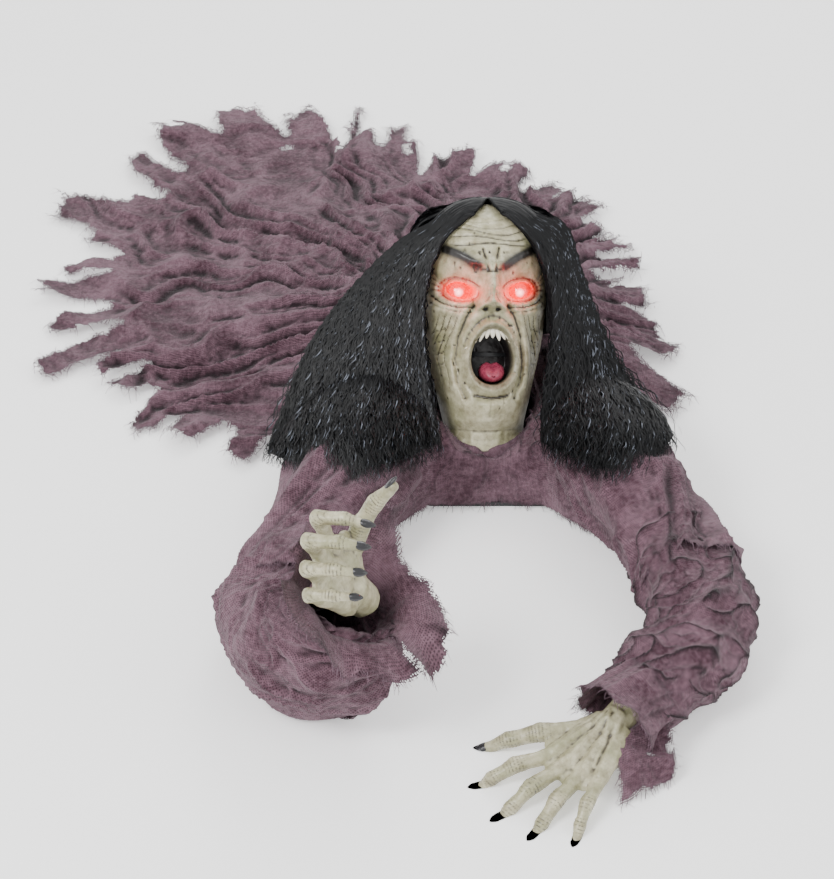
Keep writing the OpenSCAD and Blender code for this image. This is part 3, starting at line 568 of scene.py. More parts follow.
def eyeDistance(x, z):
    ex, ez, wide, high = headSkin["eye"]
    return np.hypot((np.abs(x) - ex) / wide, (z - ez - 0.12 * (np.abs(x) - ex)) / high)


def mouthDistance(x, z):
    mx, mz, wide, high = headSkin["mouth"]
    spread = 1 + 0.0035 * (mz - z)
    return np.hypot((x - mx) / (wide * spread), (z - mz) / high)


def sculptFace(x, z):
    # how far the skin stands out of the plain head form towards -Y, in mm
    ax = np.abs(x)
    out = 6.5 * nearLine(ax, z, [(9, 199), (24, 204), (44, 214)], 7.5)
    out += 3.0 * nearLine(ax, z, [(5, 201), (12, 203)], 4)
    out -= 10 * bump(ax - 33, z - 180, 17, 10) + 6 * bump(ax - 34, z - 163, 18, 8)
    # nose: narrow bridge, drooping tip, flared wings, sharp step to the lip
    shelf = smoothStep(143, 149, z)
    out += shelf * (7 * nearLine(x, z, [(0, 200), (0, 182)], 7) + 11 * nearLine(x, z, [(0, 186), (0, 172)], 8.5)
                    + 15 * nearLine(x, z, [(0, 170), (0, 157)], 9.5) + 7 * bump(x, z - 156, 8, 7))
    out += smoothStep(141, 147, z) * 9 * bump(ax - 12.5, z - 152, 6.5, 7)
    out -= 10 * bump(ax - 7, z - 148.5, 3.6, 2.8)
    out -= 2.5 * nearLine(ax, z, [(20, 158), (19, 148)], 2.2)
    # cheeks, the deep fold from nose to jaw, and the stretched ridge beside it
    out += 7 * bump(ax - 48, z - 150, 15, 11) - 8 * bump(ax - 47, z - 112, 12, 24)
    fold = [(17, 156), (27, 140), (35, 118), (38, 92), (35, 66), (28, 48)]
    out -= 5.5 * nearLine(ax, z, fold, 3.0)
    out += 4.2 * nearLine(ax, z, [(24, 158), (35, 141), (43, 118), (46, 90), (42, 60)], 4.5)
    # lips drawn back round the open mouth
    m = mouthDistance(x, z)
    out += 5.0 * np.exp(-((m - 1.15) / 0.12) ** 2) - 2.2 * np.exp(-((m - 1.42) / 0.09) ** 2)
    around = np.arctan2(z - 94, x)
    out -= 0.9 * np.maximum(0, np.cos(around * 23)) ** 4 * smoothStep(1.02, 1.12, m) * (1 - smoothStep(1.3, 1.6, m))
    # chin
    out += 6 * bump(x, z - 36, 17, 11) - 3.5 * nearLine(x, z, [(-18, 50), (0, 47), (18, 50)], 3)
    out -= 1.8 * nearLine(x, z, [(0, 43), (1, 27)], 2.0)
    # frown and forehead lines
    out -= 3.6 * nearLine(ax, z, [(4, 192), (6, 204), (9, 216)], 2.0)
    out -= 2.4 * nearLine(x, z, [(-11, 193), (0, 190), (11, 193)], 1.8)
    for row in range(5):
        level = 220 + 7.5 * row
        line = z - level - 3.2 * np.cos(x / 15 + row) - 2.4 * (ax / 30) ** 2
        out -= (2.0 - 0.2 * row) * np.exp(-(line / 1.7) ** 2) * (1 - smoothStep(34, 52, ax))
    # bags under the eyes and crow's feet
    d = eyeDistance(x, z)
    lower = smoothStep(4, -4, z - 170)
    out += lower * (3.0 * np.exp(-((d - 1.75) / 0.2) ** 2) - 2.2 * np.exp(-((d - 2.2) / 0.12) ** 2)
                    - 1.8 * np.exp(-((d - 1.42) / 0.09) ** 2) - 1.4 * np.exp(-((d - 2.75) / 0.14) ** 2))
    out -= (1 - lower) * 2.0 * np.exp(-((d - 1.6) / 0.12) ** 2)
    for k in range(-2, 4):
        out -= 1.5 * nearLine(ax, z, [(51, 170 + 1.5 * k), (66, 172 + 8 * k)], 1.5)
    # fans of cheek wrinkles that follow the fold
    reach = ax - np.interp(z, [40, 66, 92, 118, 140, 156], [30, 35, 38, 35, 27, 17])
    lines = np.maximum(0, np.cos(2 * math.pi * (reach - 5 + 1.5 * np.sin(z / 9)) / 6.4)) ** 5
    out -= 1.7 * lines * smoothStep(6, 10, reach) * (1 - smoothStep(30, 38, reach)) \
        * smoothStep(40, 60, z) * (1 - smoothStep(135, 150, z))
    out -= 1.3 * np.maximum(0, np.cos((z + 0.35 * ax) / 2.1)) ** 5 * smoothStep(44, 52, ax) \
        * smoothStep(60, 80, z) * (1 - smoothStep(130, 150, z))
    return out


def makeHead():
    facts = headSkin
    head = addShape("uv_sphere", "headSkin", segments=facts["across"], ring_count=facts["down"], radius=1)
    ball = getPoints(head)
    angle = np.arctan2(ball[:, 0], -ball[:, 1])
    angle = angle - 0.42 * np.sin(angle)
    level = np.arccos(np.clip(ball[:, 2], -1, 1)) / math.pi
    # rings: dome, then straight down to the neck edge, then a short way up inside
    domeEnd, edge = 0.36, 0.94
    theta = np.clip(level / domeEnd, 0, 1) * math.pi / 2
    power = 2 / facts["domeShape"]
    z = np.where(level < domeEnd, 190 + facts["dome"] * np.cos(theta) ** power,
                 190 - 205 * (level - domeEnd) / (edge - domeEnd))
    size = np.where(level < domeEnd, np.sin(theta) ** power, 1.0)
    inner = np.clip((level - edge) / (1 - edge), 0, 1)
    z = np.where(level > edge, -15 + 34 * smoothStep(0, 0.5, inner), z)
    tucked = 1 - 0.07 * smoothStep(0, 0.12, inner) - 0.93 * smoothStep(0.45, 1, inner)
    size = size * np.where(level > edge, tucked, 1)
    zz = np.minimum(z, 190)
    zz = np.where(level > edge, -15, zz)
    wide = np.interp(zz, facts["levels"], facts["halfWidth"]) * size
    front = (np.interp(zz, facts["levels"], facts["front"]) + 5) * size
    back = (np.interp(zz, facts["levels"], facts["back"]) - 5) * size
    x = wide * np.sin(angle)
    c = np.cos(angle)
    y = 5 - np.where(c > 0, front, back) * c
    # scooped edge of the neck skin
    z = z + 20 * (x / 50) ** 2 * (1 - smoothStep(-15, 22, z)) * (c > 0) + 6 * (c <= 0) * (1 - smoothStep(-15, 22, z))
    facing = smoothStep(0.15, 0.6, c) * (level < edge)
    out = sculptFace(x, z) * facing
    # neck cords and the wide lip of the edge
    neckPart = (1 - smoothStep(4, 22, z)) * (level < edge)
    out += neckPart * (2.5 * nearLine(np.abs(x), z, [(12, -14), (20, 24)], 4) + 2.0 * np.exp(-((z + 11) / 4) ** 2))
    lumps = np.stack([x, y, z], 1)
    out += (0.9 * softNoise(lumps, 14, 1) + 0.45 * softNoise(lumps, 5, 2) + 0.2 * softNoise(lumps, 2.6, 3)) * (level < edge)
    pits = softNoise(lumps, 5.5, 9)
    out -= 1.6 * smoothStep(0.62, 0.85, pits) * (level < edge) * smoothStep(20, 40, z)
    y = y - out * np.where(c > 0, 1, -1)
    x = x + out * 0.25 * np.sign(x) * (np.abs(x) > 50)
    # lids lie on the bulging lenses, and the skin stops inside the lid's edge
    d = eyeDistance(x, z)
    ex, ez = np.abs(x) - neck["eyeX"], z - neck["eyeLevel"]
    lens = -46.5 - np.sqrt(np.clip(17.0 ** 2 - ex ** 2 - ez ** 2, 0, None))
    onFace = (c > 0.3) & (level < edge)
    lid = smoothStep(0.92, 1.04, d) * (1 - smoothStep(1.25, 1.75, d))
    y = np.where(onFace, y + np.minimum(0, lens - y) * lid * ((ex ** 2 + ez ** 2) < 16.6 ** 2), y)
    y = np.where(onFace & (d < 0.98), np.maximum(y, -44), y)
    # the open mouth runs back into the head
    m = mouthDistance(x, z)
    y = np.where(onFace, y + 44 * (1 - smoothStep(0.80, 1.0, m)) * (z < 140), y)
    turn = math.radians(neck["turn"]) * smoothStep(-5, 45, z)
    x, y = x * np.cos(turn) - y * np.sin(turn), x * np.sin(turn) + y * np.cos(turn)
    faceX = x * np.cos(turn) + y * np.sin(turn)
    setPoints(head, headToWorld(np.stack([x, y, z], 1), turned=False))
    hollow = hollowness(head, 3)
    # painted shade in the hollows of the sculpt; lipShade adds painted shade along the inner edge of the lips
    crease = smoothStep(0.05, 0.75, hollow) * (level < edge)
    ax = np.abs(faceX)
    setMask(head, "brow", np.clip(nearLine(ax, z, [(16, 197), (30, 207), (50, 217)], 6.0) * 1.5 * facing, 0, 1))
    lipShade = np.exp(-((m - 1.05) / 0.10) ** 2) * 0.55 * facing
    setMask(head, "crease", np.clip(crease * 1.15 + lipShade * (z < 140), 0, 1))
    setMask(head, "mouth", (1 - smoothStep(0.90, 1.0, m)) * facing * (z < 140))
    # painted red light from the eyes, spread on the skin round them
    setMask(head, "glow", np.exp(-(np.maximum(0, d - 0.9) / 0.55) ** 2) * facing)
    # the nostrils are painted near black with the nail colour, painted shade in their holes
    setMask(head, "nail", np.clip(np.exp(-((ax - 7) / 3.0) ** 2 - ((z - 148) / 2.4) ** 2), 0, 1) * facing)
    return finishPiece(head, skinVinyl, "head", ["face_shell", "skull_shell", "mouth_lining"])


makeHead()
print("head skin sculpted")

teeth = {"count": 11, "spread": 118, "long": 8.0, "wide": 4.4}


def makeTeeth():
    shapes = []
    mx, mz, wide, high = headSkin["mouth"]
    for i in range(teeth["count"]):
        angle = math.radians((i / (teeth["count"] - 1) - 0.5) * teeth["spread"])
        long = teeth["long"] * (1.0 if i % 3 else 1.25)
        shape = addShape("cube", "tooth", size=1)
        bpy.ops.object.mode_set(mode="EDIT")
        bpy.ops.mesh.subdivide(number_cuts=2, smoothness=1)
        bpy.ops.object.mode_set(mode="OBJECT")
        p = getPoints(shape)
        taper = 1 - 0.35 * (0.5 - p[:, 2])
        p = p * np.array([teeth["wide"], 3.6, long]) * np.stack([taper, taper, np.ones(len(p))], 1)
        p[:, 2] -= long / 2
        x = p[:, 0] * math.cos(angle) + (p[:, 2]) * math.sin(-angle)
        z = -p[:, 0] * math.sin(angle) + p[:, 2] * math.cos(angle)
        p = np.stack([x + mx + wide * 0.96 * math.sin(angle), p[:, 1] - 66 + 5 * (1 - math.cos(angle)),
                      z + mz + high * 0.97 * math.cos(angle)], 1)
        setPoints(shape, headToWorld(p))
        shapes.append(shape)
    row = joinShapes(shapes, "upperTeeth")
    return finishPiece(row, plain["tooth"], "head", ["upper_teeth"])


def makeTongue():
    shape = addShape("uv_sphere", "tonguePiece", segments=48, ring_count=32, radius=1)
    p = getPoints(shape)
    groove = 0.22 * np.exp(-(p[:, 0] / 0.25) ** 2) * (p[:, 2] > 0)
    p = p * np.array([15, 22, 12])
    p[:, 2] -= groove * 14
    p[:, 2] += 4 * np.cos(np.clip(-p[:, 1] / 22, 0, 1) * 2)
    p[:, 2] += 0.8 * softNoise(p, 4, 5)
    p += np.array([headSkin["mouth"][0] + 1, -44, 74])
    setPoints(shape, headToWorld(p))
    return finishPiece(shape, plain["tongue_vinyl"], "head", ["tongue"])


makeTeeth()
makeTongue()
print("teeth and tongue placed")


def dressNodes():
    # every node that stays visible gets its finish
    for node in frame["nodes"].values():
        if node.hide_render:
            continue
        slotName = node.data.materials[0].name.split(".")[0] if node.data.materials else ""
        if slotName in plain:
            for i in range(len(node.data.materials)):
                node.data.materials[i] = plain[slotName]
        elif slotName == "red_lens":
            low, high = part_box(node.name)
            centre = [(a + b) / 2 for a, b in zip(low, high)]
            centre[1] -= 0.006
            centre[2] += 0.004
            for i in range(len(node.data.materials)):
                node.data.materials[i] = lensMaterial("redAcrylicLens_" + node.name, centre)
        else:
            print("no finish for", node.name, slotName)


# hands: bones laid joint to joint, melted together, then tendons, knuckles and nails

hands = {
    "left": {"side": 1, "yaws": (-30, -11, 3, 18), "lift": -8, "curl": 26, "tip": 14, "thumbYaw": -46, "thumbLift": -4},
    "right": {"side": -1, "yaws": (-16, -4, 5, 12), "lift": 8, "curl": 82, "tip": 28, "thumbYaw": -42, "thumbLift": 26},
}
palmLong = 80
fingerFacts = [((-28, -palmLong, 2), (42, 27, 22), 8.6), ((-9, -palmLong - 4, 3), (45, 29, 23), 8.8),
               ((11, -palmLong - 2, 2), (42, 28, 22), 8.5), ((29, -palmLong + 6, 1), (36, 24, 20), 7.7)]


def handMatrix(which):
    wrist = Matrix.Translation(Vector(arms["wrists"][which]))
    turned = [Matrix.Rotation(math.radians(a), 4, axis) for a, axis in
              ([(-42, "Z"), (13, "X")] if which == "left" else [(80, "Z"), (-31, "Y"), (-107, "X")])]
    if which == "left":
        return wrist @ turned[0] @ Matrix.Translation((0, 0, -8)) @ turned[1]
    return wrist @ turned[0] @ turned[1] @ turned[2]


def addBone(start, end, startRadius, endRadius, round1=24):
    start, end = Vector(start), Vector(end)
    along = end - start
    turn = along.to_track_quat("Z", "Y").to_euler()
    bone = addShape("cone", "bone", vertices=round1, radius1=startRadius, radius2=endRadius,
                    depth=along.length, location=(start + end) / 2, rotation=turn)
    knuckle = addShape("uv_sphere", "knuckle", segments=24, ring_count=16, radius=endRadius * 1.03, location=end)
    return [bone, knuckle]


def makeHand(which):
    facts = hands[which]
    s = facts["side"]
    shapes, joints, nails = [], [], []
    chains = []
    for (base, bones, radius), yaw in zip(fingerFacts, facts["yaws"]):
        chains.append(((s * base[0], base[1], base[2]), math.radians(s * yaw), bones, radius,
                       (facts["lift"], facts["curl"], facts["tip"])))
    chains.append(((s * -24, -34, -3), math.radians(s * facts["thumbYaw"]), (46, 34, 28), 10.2,
                   (facts["thumbLift"], 14, 10)))
    for base, yaw, bones, radius, bends in chains:
        p = Vector(base)
        points, bend = [p.copy()], 0
        for long, turn in zip(bones, bends):
            bend += math.radians(turn)
            p = p + long * Vector((math.sin(yaw) * math.cos(bend), -math.cos(yaw) * math.cos(bend), -math.sin(bend)))
            points.append(p.copy())
        radii = [radius * 1.05, radius * 0.98, radius * 0.84, radius * 0.6]
        for a, b, ra, rb in zip(points, points[1:], radii, radii[1:]):
            middle = (a + b) / 2
            shapes += addBone(a, middle, ra, (ra + rb) / 2 * 0.88) + addBone(middle, b, (ra + rb) / 2 * 0.88, rb)
        joints.append((points, radius))
        nails.append((points[-1], (points[-1] - points[-2]).normalized(), yaw, bend, radius))
    # palm: metacarpals with a thin web between them
    wristPoint = Vector((0, -10, 0))
    for (points, radius) in joints[:4]:
        root = wristPoint + Vector((points[0].x * 0.45, -6, 0))
        shapes += addBone(root, points[0], 13, radius * 1.12)
    shapes += addBone((0, 18, 1), (0, -20, 0), 19, 19.5)
    shapes += addBone(wristPoint + Vector((s * -8, -6, -1)), joints[4][0][0], 14, 12)
    for (one, _), (two, _) in zip(joints[:4], joints[1:4]):
        web = (one[0] + two[0]) / 2 + Vector((0, -4, -1))
        shape = addShape("uv_sphere", "web", segments=24, ring_count=14, radius=1, location=web)
        shape.scale = (11, 15, 6.5)
        shapes.append(shape)
    for x, y, wide, long, deep in ((s * -20, -42, 15, 24, 12), (s * 20, -40, 13, 30, 12), (0, -50, 24, 30, 9)):
        shape = addShape("uv_sphere", "palmPad", segments=24, ring_count=14, radius=1, location=(x, y, -4))
        shape.scale = (wide, long, deep)
        shapes.append(shape)
    web = (Vector(joints[4][0][1]) * 0.35 + Vector(joints[0][0][0]) * 0.65) + Vector((0, 14, -2))
    shape = addShape("uv_sphere", "thumbWeb", segments=24, ring_count=14, radius=1, location=web)
    shape.scale = (10, 18, 6)
    shapes.append(shape)
    hand = joinShapes(shapes, which + "HandSkin")
    useModifier(hand, "REMESH", mode="VOXEL", voxel_size=1.25)
    useModifier(hand, "SMOOTH", factor=0.6, iterations=9)
    p = getPoints(hand)
    normals = np.array([v.normal for v in hand.data.vertices])
    # cords on the back of the hand, then rings of loose skin over each joint
    back = smoothStep(0.1, 0.6, normals[:, 2]) * smoothStep(-palmLong - 6, -palmLong + 12, p[:, 1])
    for points, radius in joints[:4]:
        cord = nearLine(p[:, 0], p[:, 1], [(points[0].x * 0.25, -8), (points[0].x, points[0].y)], 3.2)
        p = p + normals * (2.8 * cord * back)[:, None]
    veins = nearLine(p[:, 0] + 3 * softNoise(p, 22, 4), p[:, 1], [(s * -6, -12), (s * 12, -44), (s * 20, -70)], 1.6)
    p = p + normals * (1.1 * veins * back)[:, None]
    rings = np.zeros(len(p))
    for points, radius in joints:
        for joint, a, b in ((points[1], points[0], points[2]), (points[2], points[1], points[3])):
            axis = (b - a).normalized()
            d = p - np.array(joint)
            along = d @ np.array(axis)
            near = np.exp(-((d ** 2).sum(1) / (radius * 1.6) ** 2) ** 2)
            rings += near * np.maximum(0, np.cos(along * 2 * math.pi / 3.6)) ** 3
            p = p + normals * (near * (1.4 - 0.0 * along) * smoothStep(0, 0.6, normals[:, 2]))[:, None]
    p = p - normals * (0.75 * rings)[:, None]
    p = p + normals * (0.55 * softNoise(p, 9, 7) + 0.3 * softNoise(p, 3.5, 8))[:, None]
    setPoints(hand, p * mm)
    hollow = hollowness(hand, 3)
    # painted shade in the hollows between the fingers and round the knuckles
    crease = smoothStep(0.04, 0.4, hollow)
    place = handMatrix(which)
    # long dark nails bedded on the finger ends
    claws = []
    for tip, direction, yaw, bend, radius in nails:
        outward = Vector((math.sin(yaw) * math.sin(bend), -math.cos(yaw) * math.sin(bend), math.cos(bend)))
        side = direction.cross(outward).normalized()
        claw = addShape("uv_sphere", "nail", segments=20, ring_count=14, radius=1)
        q = getPoints(claw)
        taper = 1 - 0.35 * smoothStep(0.0, 1.0, q[:, 1])
        centre = np.array(tip) + np.array(outward) * radius * 0.40 + np.array(direction) * radius * 0.15
        q = centre + np.outer(q[:, 0] * radius * 0.56 * taper, side) + np.outer(q[:, 1] * radius * 1.05, direction) \
            + np.outer(q[:, 2] * radius * 0.26 - 0.10 * radius * q[:, 0] ** 2, outward)
        setPoints(claw, q * mm)
        setMask(claw, "nail", np.ones(len(q)))
        claws.append(claw)
    setMask(hand, "nail", np.zeros(len(p)))
    setMask(hand, "crease", crease)
    # the finger ends are painted darker round the nails
    tips = np.zeros(len(p))
    for tip, direction, yaw, bend, radius in nails:
        tips = np.maximum(tips, np.exp(-(((p - np.array(tip)) ** 2).sum(1) / (radius * 0.95) ** 2)))
    setMask(hand, "crease", np.clip(crease * 0.9 + 0.35 * tips, 0, 1))
    hand = joinShapes([hand] + claws, which + "HandSkin")
    world4 = np.array(place)
    q = getPoints(hand) / mm
    q = q @ world4[:3, :3].T + world4[:3, 3]
    if which == "left":
        q[:, 2] = np.maximum(q[:, 2], 0.6)
    setPoints(hand, q * mm)
    return finishPiece(hand, skinVinyl, which + "_hand_body", [which + "_hand"])


for which in ("left", "right"):
    makeHand(which)
print("hands made")


# hair: locks of crimped strands over a matted under layer

# guides run from the parting to the ends; each point is world x, depth behind the neck axis, level up the neck
sleeveStations = {
    # centre x, y, z, half width and half height along each tube, in mm
    "right": {"upper": [(-92, -24, 50, 34, 26), (-128, -66, 62, 66, 56), (-152, -136, 66, 70, 60),
                        (-184, -232, 60, 62, 54), (-206, -306, 56, 60, 53), (-216, -346, 54, 60, 50)],
              "lower": [(-188, -252, 58, 46, 42), (-210, -316, 54, 57, 47), (-226, -370, 58, 60, 54),
                        (-206, -420, 72, 62, 68), (-178, -446, 94, 58, 72), (-158, -454, 124, 50, 58),
                        (-150, -448, 149, 40, 42)]},
    "left": {"upper": [(88, -24, 50, 34, 26), (122, -66, 62, 62, 54), (150, -138, 64, 62, 56),
                       (190, -224, 58, 55, 50), (212, -284, 55, 52, 48), (220, -310, 54, 53, 48)],
             "lower": [(192, -240, 54, 42, 40), (216, -308, 52, 49, 46), (228, -360, 50, 52, 46),
                       (210, -408, 48, 48, 43), (176, -446, 46, 43, 40), (146, -476, 45, 38, 37)]},
}


def clothTop(x, y):
    # highest point of the sleeves and shoulders under the hair, in mm
    top = 56 + 58 * bump(np.abs(x) - 112, y + 82, 62, 60)
    for stations in (sleeveStations["right"]["upper"], sleeveStations["left"]["upper"]):
        for cx, cy, cz, wide, high in alongCurve(stations, np.linspace(0, 1, 22)):
            d = np.hypot(x - cx, y - cy) / (wide * 1.45)
            top = np.maximum(top, cz + (high + 10) * np.clip(1 - d * d, 0, 1) - 60 * (d > 1))
    return top


def overShoulders(p, gap):
    # hair that would sink into the shoulders comes forward and up over them
    gap = np.zeros(len(p)) + gap
    near = np.where((p[:, 1] < 20) & (p[:, 2] < 150))[0]
    for _ in range(20):
        near = near[p[near, 2] < clothTop(p[near, 0], p[near, 1]) + gap[near]]
        if not len(near):
            break
        p[near] += np.array([0, -0.777, 0.629]) * 5
    return p


hairGuides = {
    "hair_right": [
        [(-16, -54, 258), (-50, -58, 228), (-70, -56, 180), (-74, -56, 130), (-70, -60, 84), (-62, -66, 34), (-52, -80, -20)],
        [(-6, -42, 267), (-60, -44, 232), (-90, -44, 176), (-98, -48, 124), (-100, -56, 72), (-98, -66, 16), (-92, -82, -40)],
        [(-1, -22, 273), (-74, -26, 236), (-118, -30, 176), (-138, -34, 118), (-150, -40, 62), (-156, -50, 4), (-150, -64, -52)],
        [(0, 0, 277), (-84, -4, 240), (-138, -8, 180), (-172, -12, 122), (-196, -14, 64), (-206, -22, 8), (-204, -36, -44)],
        [(0, 20, 278), (-88, 20, 240), (-150, 16, 182), (-196, 14, 124), (-224, 12, 66), (-244, 6, 12), (-256, 0, -26)],
    ],
    "hair_left": [
        [(16, -54, 258), (50, -58, 226), (70, -56, 176), (74, -56, 128), (70, -60, 82), (62, -66, 34), (58, -80, -22)],
        [(6, -42, 267), (62, -44, 234), (86, -44, 176), (92, -48, 124), (96, -56, 70), (98, -66, 14), (94, -82, -36)],
        [(1, -22, 273), (74, -26, 242), (98, -30, 182), (114, -34, 124), (128, -42, 66), (136, -54, 6), (130, -66, -52)],
        [(0, 0, 277), (80, -2, 250), (104, -8, 190), (124, -12, 130), (148, -18, 72), (172, -28, 16), (168, -44, -50)],
        [(0, 20, 278), (84, 18, 256), (108, 14, 196), (130, 12, 134), (158, 4, 76), (196, -6, 30), (212, -14, -8)],
    ],
    "hair_back": [
        [(-6, -14, 276), (-76, -6, 250), (-94, 10, 206), (-104, 30, 160), (-110, 42, 126), (-112, 50, 96)],
        [(-16, 4, 273), (-70, 20, 262), (-90, 60, 222), (-98, 86, 180), (-104, 94, 156), (-106, 100, 130)],
        [(-10, 12, 274), (-36, 44, 268), (-48, 92, 228), (-54, 108, 186), (-58, 114, 160), (-58, 118, 136)],
        [(0, 16, 275), (0, 52, 270), (0, 100, 230), (0, 116, 188), (0, 120, 162), (0, 124, 138)],
        [(10, 12, 274), (36, 44, 268), (48, 92, 228), (54, 108, 186), (56, 114, 160), (56, 118, 136)],
        [(16, 4, 273), (70, 20, 262), (88, 60, 222), (96, 86, 180), (102, 94, 156), (104, 100, 130)],
        [(6, -14, 276), (76, -6, 250), (92, 10, 206), (102, 30, 160), (108, 42, 126), (110, 50, 96)],
    ],
}
hairFacts = {"strands": 1400, "segments": 56, "wide": 1.15, "crimp": 2.3, "wave": 22.0, "locks": 34, "depth": 20}


def hairPoint(guides, across, down):
    # across and down from 0 to 1, arrays of the same length
    lines = np.array([alongCurve(g, down) for g in guides])
    turned = np.transpose(lines, (1, 0, 2))
    n = len(guides) - 1
    s = np.clip(across, 0, 1) * n
    i = np.minimum(np.floor(s).astype(int), n - 1)
    f = (s - i)[:, None]
    rows = np.arange(len(down))
    a, b = turned[rows, i], turned[rows, i + 1]
    return a * (1 - f) + b * f


def hairToWorld(p):
    q = np.asarray(p, float).copy()
    # never inside the crown
    reach = np.hypot(q[:, 0] / 77, (q[:, 1] - 2) / np.where(q[:, 1] < 2, 76, 96))
    crown = 190 + 87 * np.clip(1 - reach ** 2.5, 0, 1) ** 0.4
    q[:, 2] = np.where((q[:, 2] > 185) & (reach < 1), np.maximum(q[:, 2], crown + 1.5), q[:, 2])
    q[:, 0] -= neck["place"][0]
    return headToWorld(q, turned=False) / mm


def makeHair(nodeName, seed):
    guides = hairGuides[nodeName]
    rng = np.random.default_rng(seed)
    count, seg = hairFacts["strands"], hairFacts["segments"]
    back = nodeName == "hair_back"
    points, faces, tones, gaps = [], [], [], []
    for k in range(count):
        across = rng.random()
        lock = (np.floor(across * hairFacts["locks"]) + 0.5) / hairFacts["locks"]
        start = max(0, rng.random() ** 2 * 0.30 - 0.04) if k % 3 else rng.random() * 0.5
        end = 0.78 + 0.22 * rng.random() ** 0.6
        t = np.linspace(start, end, seg)
        pull = 0.72 * smoothStep(0.0, 0.7, t) * (0.5 + 0.5 * math.sin(seed + lock * 90))
        wander = 0.035 * np.sin(t * (4 + 4 * rng.random()) + rng.random() * 6.3) * smoothStep(0.1, 0.6, t)
        u = across * (1 - pull) + lock * pull + wander
        p = hairToWorld(hairPoint(guides, u, t))
        tangent = np.gradient(p, axis=0)
        tangent /= np.linalg.norm(tangent, axis=1)[:, None]
        outward = np.array([0, 0.75, 0.66]) if back else np.array([0.25 * np.sign(p[-1, 0]), -0.72, 0.64])
        side = np.cross(tangent, outward)
        side /= np.linalg.norm(side, axis=1)[:, None]
        out = np.cross(side, tangent)
        length = np.concatenate([[0], np.cumsum(np.linalg.norm(np.diff(p, axis=0), axis=1))])
        phase = 6.3 * (0.8 * rng.random() + lock * 7)
        wave = hairFacts["wave"] * (0.7 + 0.9 * rng.random())
        grown = smoothStep(0.05, 0.35, t) * (0.6 + 0.8 * rng.random())
        crimp = hairFacts["crimp"] * grown * np.sin(2 * math.pi * length / wave + phase)
        loft = hairFacts["depth"] * (rng.random() ** 0.6 - 0.72) * smoothStep(0, 0.18, t)
        fly = (k % 7 == 0) * 22 * (rng.random() - 0.3) * smoothStep(0.35, 1.0, t)
        stray = (k % 7 == 0) * 34 * (rng.random() - 0.5) * smoothStep(0.3, 1.0, t)
        p = p + side * (crimp + stray)[:, None] + out * (loft + fly + 0.6 * np.abs(crimp))[:, None]
        gaps.append(np.full(2 * seg, 3 + 9 * rng.random()))
        p[:, 2] = np.maximum(p[:, 2], 3 + 4 * rng.random())
        tip = smoothStep(0.85, 1.0, (t - start) / (end - start))
        half = hairFacts["wide"] / 2 * (0.7 + 0.6 * rng.random()) * (1 - 0.75 * tip)
        first = len(points) * 2 * seg
        points.append(np.stack([p - side * half[:, None], p + side * half[:, None]], 1).reshape(-1, 3))
        tone = 0.25 + 0.75 * rng.random() ** 2.2
        # painted highlight along the crests of the crimp, over a random tone per strand
        glint = 0.5 + 0.5 * np.cos(2 * math.pi * length / wave + phase + 0.8)
        tones.append(np.repeat(tone * (0.55 + 0.6 * glint ** 3), 2))
        for j in range(seg - 1):
            a = first + 2 * j
            faces.append((a, a + 1, a + 3, a + 2))
    laid = overShoulders(np.concatenate(points), np.concatenate(gaps))
    strands = meshFrom(nodeName + "Strands", laid * mm, faces)
    setMask(strands, "tone", np.concatenate(tones))
    # matted under layer, ridged like the locks above it
    mat = addShape("grid", nodeName + "Mat", x_subdivisions=70, y_subdivisions=90, size=1)
    g = getPoints(mat)
    u, t = g[:, 0] + 0.5, (g[:, 1] + 0.5) * 0.93
    p = hairToWorld(hairPoint(guides, u, t))
    ridge = np.cos(u * hairFacts["locks"] * 2 * math.pi + 2.5 * softNoise(np.stack([u * 9, t * 3, u * 0], 1), 1, seed))
    fine = np.cos(u * 620 + 9 * softNoise(np.stack([u * 20, t * 14, u * 0], 1), 1, seed + 1))
    toward = np.array([0, 0.75, 0.66]) if back else np.array([0, -0.75, 0.66])
    under = (5 if back else 12) * smoothStep(0.2, 0.42, t)
    p = p + toward * (2.6 * ridge * smoothStep(0.05, 0.4, t) + 0.5 * fine + 1.0 - under)[:, None]
    p = overShoulders(p, 2)
    p[:, 2] = np.maximum(p[:, 2], 2.5)
    setPoints(mat, p * mm)
    # the mat is painted lighter on the crests of its ridges and fine strands, a painted highlight
    setMask(mat, "tone", 0.22 + 0.16 * ridge + 0.22 * np.maximum(0, fine))
    useModifier(mat, "SOLIDIFY", thickness=0.004, offset=0)
    hair = joinShapes([strands, mat], nodeName + "Locks")
    finishPiece(hair, wigFibre, None if not back else "head", [nodeName])
    if not back:
        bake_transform(hair)
    return hair


for seed, nodeName in enumerate(hairGuides):
    makeHair(nodeName, seed + 3)
print("hair laid")


# cloth: every piece starts as a grid, is laid in place, creased, torn at its edge and fringed

def layGrid(name, across, along, place):
    # place(u, v) gives points in mm and the weave's own coordinates in mm, u and v from 0 to 1
    cloth = addShape("grid", name, x_subdivisions=across, y_subdivisions=along, size=1)
    g = getPoints(cloth)
    points, weaveU, weaveV = place(g[:, 0] + 0.5, g[:, 1] + 0.5)
    setPoints(cloth, points * mm)
    layer = cloth.data.uv_layers[0]
    layer.name = "weave"
    corners = np.empty(len(cloth.data.loops), np.int64)
    cloth.data.loops.foreach_get("vertex_index", corners)
    layer.data.foreach_set("uv", np.stack([weaveU[corners] * mm, weaveV[corners] * mm], 1).ravel())
    return cloth


